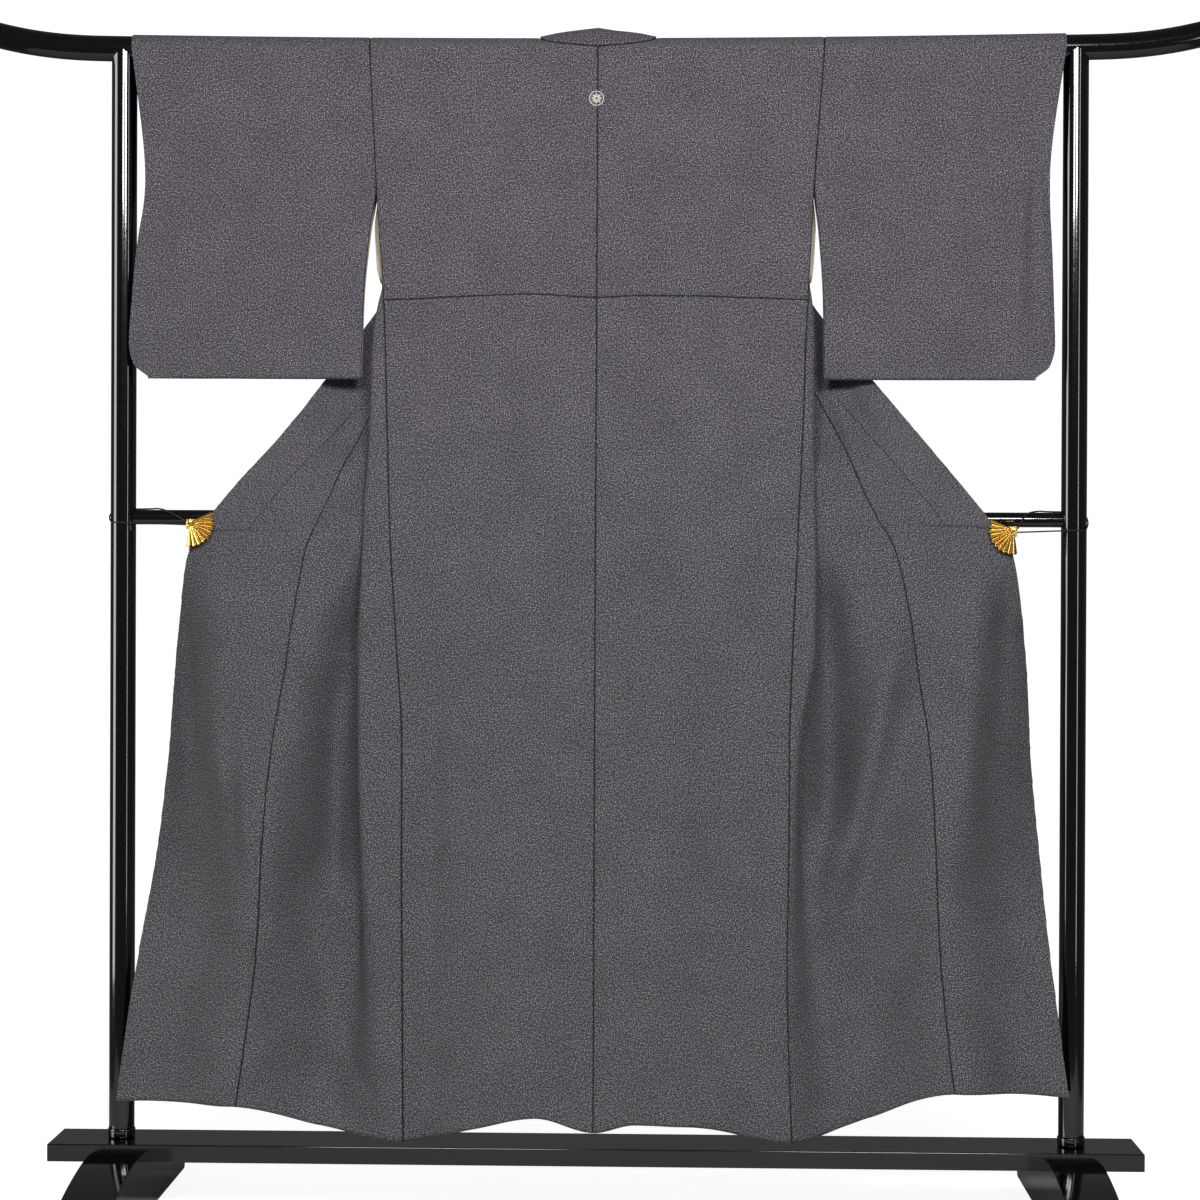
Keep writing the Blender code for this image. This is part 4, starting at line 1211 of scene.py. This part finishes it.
rings = []
for x, end in ((-POST_X, 1), (-0.3, 0), (0.3, 0), (POST_X, -1)):
    ring = np.array([(x, MID_BAR_R * math.cos(t), MID_BAR_Z + MID_BAR_R * math.sin(t)) for t in turn])
    ring[:, 0] += end * np.sqrt((POST_R + GAP) ** 2 - ring[:, 1] ** 2)
    rings.append(ring)
from_rings("lacquered_mid_bar", np.array(rings), LACQUER, "mid_bar")

# %% [markdown]
# ## Plank and feet
#
# The plank is a plain board whose edges are just broken, so each edge draws a thin bright line. The feet are
# deep boards stood on edge: their outline has a seat for the plank, a low lip on each side of it and arched
# toes. An extruded outline gets its broken edges from a Bevel modifier.

# %% Plank and feet
FOOT_W = 74 * MM
FOOT_HALF = 290 * MM
FOOT_LIP = 9 * MM
TOE_Z = 58 * MM
TOE_R = 30 * MM
FOOT_BEVEL = 4 * MM
LIP_R = 2 * MM
PLANK_BEVEL = 1.6 * MM
FOOT_EDGE = 1.2 * MM


def bevelled(piece, width, segments=3):
    edge = piece.modifiers.new("edge", "BEVEL")
    edge.width = width
    edge.segments = segments
    edge.limit_method = "ANGLE"
    edge.angle_limit = math.radians(40)
    edge.harden_normals = True
    return piece


def extruded(name, outline, thick, x, look, node):
    """A board with an outline in the YZ plane and a thickness along X."""
    vertices = [(x + s * thick / 2, y, z) for s in (-1, 1) for y, z in outline]
    return solid(name, vertices, prism_faces(len(outline)), look, node)


low, high = PLANK_Z
reach = PLANK_DEPTH / 2
board = [(-reach, low), (reach, low), (reach, high), (-reach, high)]
plank = extruded("lacquered_plank", board, 2 * PLANK_HALF, 0, LACQUER, "base_plank")
bevelled(plank, PLANK_BEVEL)

seat = PLANK_Z[0] - GAP
lip = seat + FOOT_LIP
inner = PLANK_DEPTH / 2 + GAP
half = [(0, seat), (inner, seat), (inner, lip - LIP_R)]
for t in np.linspace(0, 1, 5)[1:]:
    angle = t * math.pi / 2
    half.append((inner + LIP_R * (1 - math.cos(angle)), lip - LIP_R + LIP_R * math.sin(angle)))
for t in np.linspace(0, 1, 33)[1:]:
    y = inner + LIP_R + (FOOT_HALF - TOE_R - inner - LIP_R) * t
    half.append((y, lip - (lip - TOE_Z) * t**1.6))
for angle in np.linspace(84, 0, 14):
    turned_by = math.radians(angle)
    half.append((FOOT_HALF + TOE_R * (math.cos(turned_by) - 1), TOE_Z + TOE_R * (math.sin(turned_by) - 1)))
half += [(FOOT_HALF, FOOT_BEVEL), (FOOT_HALF - FOOT_BEVEL, 0)]
outline = half + [(-y, z) for y, z in reversed(half[1:])]
for name, side in SIDES.items():
    place = side * POST_X
    foot = extruded(f"lacquered_foot_{name}", outline, FOOT_W, place, LACQUER, f"foot_{name}")
    bevelled(foot, FOOT_EDGE, 2)

# %% [markdown]
# ## Gilt brass and braided elastic
#
# The clips are stamped from thin brass and gilt. Stamping leaves the pleats of the fan sharp on their ridges.
# Their valleys are painted dark brown, for their shade and for tarnish that the polish doesn't reach.
# A metal's colour is the colour of its reflections. The cords are rubber in a braided black cover.

# %% Brass and elastic
STAMP_MM = 1.6
BRAID_MM = 1.4


def gilt_brass(name):
    made = new_material(name)
    place = add(made, "TexCoord").outputs["Object"]
    grain = add(made, "TexNoise", Vector=place, Scale=per_metre(STAMP_MM), Detail=3.0)
    gold = stops(add(made, "ValToRGB", Fac=grain.outputs["Fac"]), (0.3, "#e3b34c"), (0.7, "#f7d98a"))
    # Painted shade and tarnish: the gilt turns dark brown within about a millimetre of a pleat's valley.
    valley_map = add(made, "SeparateXYZ", in_0=add(made, "UVMap", {"uv_map": "seam"}).outputs["UV"])
    valley = add(made, "MapRange", SMOOTH, Value=valley_map.outputs["X"], From_Min=0.1 * MM, From_Max=0.9 * MM)
    valley_shade_and_tarnish = stops(add(made, "ValToRGB", Fac=grain.outputs["Fac"]), (0.3, "#7d4c0c"), (0.7, "#9c6a1c"))
    colour = add(made, "Mix", COLOURS, Factor=valley.outputs["Result"], in_6=valley_shade_and_tarnish, in_7=gold)
    rough = add(made, "MapRange", Value=grain.outputs["Fac"], To_Min=0.18, To_Max=0.34)
    bump = add(made, "Bump", Height=grain.outputs["Fac"], Strength=0.15, Distance=0.12 * MM)
    shader = add(
        made,
        "BsdfPrincipled",
        Base_Color=colour.outputs[2],
        Metallic=1.0,
        Roughness=rough.outputs["Result"],
        Normal=bump.outputs["Normal"],
    )
    add(made, "OutputMaterial", Surface=shader.outputs[0])
    return made


def braided_elastic(name):
    made = new_material(name)
    place = add(made, "TexCoord").outputs["Object"]
    braid_scale = per_metre(BRAID_MM) / BAND_TURN
    weave = add(made, "TexWave", {"bands_direction": "DIAGONAL"}, Vector=place, Scale=braid_scale)
    colour = stops(add(made, "ValToRGB", Fac=weave.outputs["Fac"]), (0.2, "#08080a"), (0.8, "#1d1d20"))
    rough = add(made, "MapRange", Value=weave.outputs["Fac"], To_Min=0.5, To_Max=0.8)
    bump = add(made, "Bump", Height=weave.outputs["Fac"], Strength=0.6, Distance=0.2 * MM)
    shader = add(
        made,
        "BsdfPrincipled",
        Base_Color=colour,
        Roughness=rough.outputs["Result"],
        Normal=bump.outputs["Normal"],
    )
    add(made, "OutputMaterial", Surface=shader.outputs[0])
    return made


BRASS = gilt_brass("gilt stamped brass")
ELASTIC = braided_elastic("braided elastic cord")
print("materials:", [m.name for m in bpy.data.materials])

# %% [markdown]
# ## Folding-fan clips
#
# Each clip grips the front's edge in two jaws. On its face sits a small fan of ten pleats, with a domed
# rivet over the pivot. An elastic cord runs from the clip round the post and back, which holds the kimono
# spread. The cord is held at both ends, so its path is a smooth curve through a few points.

# %% Clips and cords
FAN_R = 34 * MM
FAN_T = 0.9 * MM
FAN_PLEATS = 10
FAN_PLEAT_DEPTH = 1.3 * MM
FAN_RINGS = 26
FAN_STEPS = 8  # columns in each half pleat
KNOB_R = 5 * MM
KNOB_HALF_T = 2.4 * MM
# The rivet's profile from its face to its back, as shares of its half thickness and of its radius.
RIVET = (
    (-1.0, 0.05),
    (-0.97, 0.3),
    (-0.86, 0.55),
    (-0.66, 0.72),
    (-0.5, 0.78),
    (-0.46, 0.86),
    (-0.5, 0.94),
    (-0.3, 1.0),
    (0.3, 1.0),
    (0.7, 0.8),
    (0.95, 0.4),
    (1.0, 0.05),
)
JAW_T = 1.2 * MM
JAW_GAP = 2 * MM
BOSS_H = 5 * MM
ELASTIC_R = 1.1 * MM
CLIP_Z = {-1: 986 * MM, 1: 979 * MM}
PIVOT_OUT = 8 * MM  # the pivot's place past the cloth's edge
JAW_BACK = 22 * MM
JAW_OUT = 5 * MM
JAW_LOW = 9 * MM
JAW_HIGH = 5 * MM
FAN_FIRST = 28  # degrees above level, where the first rib points
FAN_SPREAD = 126
# The cord's way over the mid bar: distance from the middle, depth, and height over the bar, in millimetres.
ELASTIC_WAY = ((650, 11.5, 0), (637, 4, 0), (622, -6, 0), (606, -14, -5))


def fan(name, side, pivot, fan_y, node):
    """A pleated fan: a grid of rings from the pivot outwards and of columns from rib to rib."""
    columns = 2 * FAN_PLEATS * FAN_STEPS + 1
    share = np.linspace(0, 1, columns)[None, :]
    radius = np.linspace(KNOB_R + 0.4 * MM, FAN_R, FAN_RINGS)[:, None]
    angle = np.radians(FAN_FIRST - FAN_SPREAD * share)
    phase = share * 2 * FAN_PLEATS
    triangle = 2 * np.abs(phase % 2 - 1) - 1
    pleat = np.sign(triangle) * np.abs(triangle) ** 0.8
    rim = ramp((radius - FAN_R + 3 * MM) / (3 * MM))
    out = radius - 0.8 * MM * pleat * rim * (radius > FAN_R - 2 * MM)
    lip = 0.35 * MM * np.exp(-(((radius - FAN_R + 1.2 * MM) / (0.6 * MM)) ** 2))
    y = fan_y + FAN_PLEAT_DEPTH * pleat * radius / FAN_R - lip
    x = pivot[0] - side * out * np.cos(angle)
    z = pivot[2] + out * np.sin(angle)
    points = np.stack([x + 0 * y, y, z + 0 * y], axis=-1)
    # each point's distance from a pleat's valley, where the brass gets its painted shade and tarnish
    valley = (1 - pleat) / 2 * 1.6 * MM + 0 * radius
    mesh = bpy.data.meshes.new(name)
    mesh.from_pydata(points.reshape(-1, 3).tolist(), [], grid_faces(FAN_RINGS, columns, False, side > 0))
    mesh.materials.append(BRASS)
    write_uv(mesh, "seam", valley, 0 * valley)
    piece = stand_in(name, mesh, node)
    mesh.set_sharp_from_angle(angle=math.radians(50))
    give_wall(piece, FAN_T)


def without_valley_shade(piece):
    """Gives a brass piece without pleats a seam map that keeps all of it free of the painted valley shade."""
    uv = piece.data.uv_layers.new(name="seam")
    uv.data.foreach_set("uv", np.full(2 * len(piece.data.loops), 2 * MM, np.float32))


def smooth_way(route, steps=10):
    """A smooth curve through a few points, by splitting each stretch into small steps."""
    p = np.array(route, float)
    p = np.concatenate([[2 * p[0] - p[1]], p, [2 * p[-1] - p[-2]]])
    way = []
    for i in range(1, len(p) - 2):
        for t in np.linspace(0, 1, steps, endpoint=False):
            a = 2 * p[i] + (p[i + 1] - p[i - 1]) * t
            b = (2 * p[i - 1] - 5 * p[i] + 4 * p[i + 1] - p[i + 2]) * t * t
            c = (-p[i - 1] + 3 * p[i] - 3 * p[i + 1] + p[i + 2]) * t**3
            way.append((a + b + c) / 2)
    return np.array([*way, p[-2]])


def cord_rings(way, radius, sides=16):
    """Rings square to a way, each turned on from the last one without a twist."""
    along = np.gradient(way, axis=0)
    along /= np.linalg.norm(along, axis=1, keepdims=True)
    up = np.cross(along[0], (0.31, 0.2, 0.93))
    rings = []
    for centre, ahead in zip(way, along):
        up = up - ahead * (up @ ahead)
        up /= np.linalg.norm(up)
        out = np.cross(ahead, up)
        angles = np.linspace(0, 2 * math.pi, sides, endpoint=False)
        rings.append([centre + radius * (up * math.cos(t) + out * math.sin(t)) for t in angles])
    return np.array(rings)


for name, side in SIDES.items():
    edge_z = CLIP_Z[side] - JAW_LOW - 7 * MM
    band_width = curve_through(FRONTS[side], "band", edge_z, FRONT_COLUMNS)
    edge = FRONT[side].at(FRONT_W + band_width, edge_z)
    pivot = (float(edge[0]) + side * PIVOT_OUT, float(edge[1]), CLIP_Z[side])
    front_y = pivot[1] - CLOTH_T / 2 - JAW_GAP
    back_y = pivot[1] + CLOTH_T / 2 + JAW_GAP
    x0 = pivot[0] - side * JAW_BACK
    x1 = pivot[0] + side * JAW_OUT
    boss = pivot[0] - side * JAW_HIGH
    face = front_y - JAW_T
    jaw = [(x0, face), (boss, face), (boss, face - BOSS_H), (x1, face - BOSS_H)]
    jaw += [(x1, back_y + JAW_T), (x0, back_y + JAW_T), (x0, back_y)]
    jaw += [(x1 - side * 3 * MM, back_y), (x1 - side * 3 * MM, front_y), (x0, front_y)]
    vertices = [(x, y, z) for z in (pivot[2] - JAW_LOW, pivot[2] + JAW_HIGH) for x, y in jaw]
    clip = solid(f"brass_clip_{name}", vertices, prism_faces(len(jaw)), BRASS, f"clip_{name}")
    bevelled(clip, 0.35 * MM)
    without_valley_shade(clip)

    fan_y = face - BOSS_H - GAP - FAN_T / 2 - 0.35 * FAN_PLEAT_DEPTH
    fan(f"brass_fan_{name}", side, pivot, fan_y, f"fan_{name}")

    knob_y = face - BOSS_H - GAP - KNOB_HALF_T
    spin = np.linspace(0, 2 * math.pi, 48, endpoint=False)
    rings = []
    for deep, wide in RIVET:
        y = knob_y + KNOB_HALF_T * deep
        r = KNOB_R * wide
        rings.append([(pivot[0] + r * math.cos(t), y, pivot[2] + r * math.sin(t)) for t in spin])
    without_valley_shade(from_rings(f"brass_rivet_{name}", np.array(rings), BRASS, f"knob_{name}"))

    reach = POST_R + ELASTIC_R + GAP
    start = np.array((x1 + side * (ELASTIC_R + GAP), pivot[1], pivot[2]))
    over_z = MID_BAR_Z + MID_BAR_R + ELASTIC_R + GAP
    route = [start - (0, 0, 3 * MM)]
    for angle in np.linspace(-100, 110, 13):
        t = math.radians(angle)
        z = pivot[2] + (over_z - pivot[2]) * float(ramp((angle + 60) / 120))
        route.append((side * (POST_X + reach * math.cos(t)), reach * math.sin(t), z))
    route += [(side * x * MM, y * MM, over_z + z * MM) for x, y, z in ELASTIC_WAY]
    route.append(start + (0, 0, 2 * MM))
    rings = cord_rings(smooth_way(route), ELASTIC_R)
    from_rings(f"elastic_cord_{name}", rings, ELASTIC, f"elastic_{name}")
    lengths = np.linalg.norm(np.diff(np.array(route), axis=0), axis=1)
    print(name, "cord:", round(lengths.sum() * 1000), "mm")

# %% [markdown]
# ## Studio
#
# The photo is a catalogue picture: the backdrop is pure white and the light is soft, yet the lacquer is
# black, so its room must have been dim and the backdrop cut out. The sky here is white where it is looked at
# and dim where it lights, and the floor behind the stand glows in the same way. Two soft lights stand high on
# the camera's left and right. Two tall lights are seen in gloss alone, as bright lines along the posts.

# %% Floor, sky and lights
FLOOR_HALF = (1.6, 1.1)
GLOW_Y = (-0.45, 0.1)  # the floor starts to glow at the first distance and glows fully at the second
GLOW = 0.9
ROOM_LIGHT = 0.10
BACKDROP_LIGHT = 1.05


def floor_finish(name):
    made = new_material(name)
    place = add(made, "TexCoord").outputs["Object"]
    mottle = add(made, "TexNoise", Vector=place, Scale=per_metre(180), Detail=3.0)
    colour = stops(add(made, "ValToRGB", Fac=mottle.outputs["Fac"]), (0.3, "#f2f1ef"), (0.7, "#f8f8f6"))
    axes = add(made, "SeparateXYZ", in_0=place)
    behind = {"From_Min": GLOW_Y[0], "From_Max": GLOW_Y[1], "To_Max": GLOW}
    glow = add(made, "MapRange", SMOOTH, Value=axes.outputs["Y"], **behind)
    rays = add(made, "LightPath").outputs["Is Camera Ray"]
    seen = add(made, "Math", {"operation": "MULTIPLY"}, in_0=glow.outputs["Result"], in_1=rays)
    shader = add(
        made,
        "BsdfPrincipled",
        Base_Color=colour,
        Roughness=0.85,
        Emission_Color=(1, 1, 1, 1),
        Emission_Strength=seen.outputs[0],
    )
    add(made, "OutputMaterial", Surface=shader.outputs[0])
    return made


floor_mesh = bpy.data.meshes.new("floor")
corners = [(x * FLOOR_HALF[0], y * FLOOR_HALF[1], 0) for x, y in ((-1, -1), (1, -1), (1, 1), (-1, 1))]
floor_mesh.from_pydata(corners, [], [(0, 1, 2, 3)])
floor_mesh.materials.append(floor_finish("white studio floor"))
floor = bpy.data.objects.new("floor", floor_mesh)
bpy.context.scene.collection.objects.link(floor)

sky = bpy.data.worlds.new("studio")
bpy.context.scene.world = sky
sky.use_nodes = True
sky.node_tree.nodes.clear()
rays = add(sky, "LightPath")
room = add(sky, "Background", Color=linear("#f4f3f6"), Strength=ROOM_LIGHT).outputs[0]
backdrop = add(sky, "Background", Color=(1, 1, 1, 1), Strength=BACKDROP_LIGHT).outputs[0]
seen = add(sky, "MixShader", Fac=rays.outputs["Is Camera Ray"], in_1=room, in_2=backdrop)
add(sky, "OutputWorld", Surface=seen.outputs[0])


def soft_light(name, place, aim, width, height, watts):
    data = bpy.data.lights.new(name, "AREA")
    data.shape = "RECTANGLE"
    data.size = width
    data.size_y = height
    data.energy = watts
    lamp = bpy.data.objects.new(name, data)
    lamp.location = place
    lamp.rotation_euler = (Vector(aim) - Vector(place)).to_track_quat("-Z", "Y").to_euler()
    bpy.context.scene.collection.objects.link(lamp)
    return lamp


soft_light("key_left", (-0.55, -3.3, 2.2), (0, 0, 1.05), 0.7, 0.6, 46)
soft_light("key_right", (0.75, -3.3, 2.2), (0, 0, 1.05), 0.7, 0.6, 55)
for name, place, width, height, watts in (
    ("tall_left", (-3.3, -0.95, 1.2), 1.3, 2.6, 60),
    ("strip_right", (1.9, -2.2, 1.2), 0.22, 2.4, 12),
):
    lamp = soft_light(name, place, (0, 0, 1.0), width, height, watts)
    lamp.visible_diffuse = False
bpy.context.scene.view_settings.view_transform = "Standard"
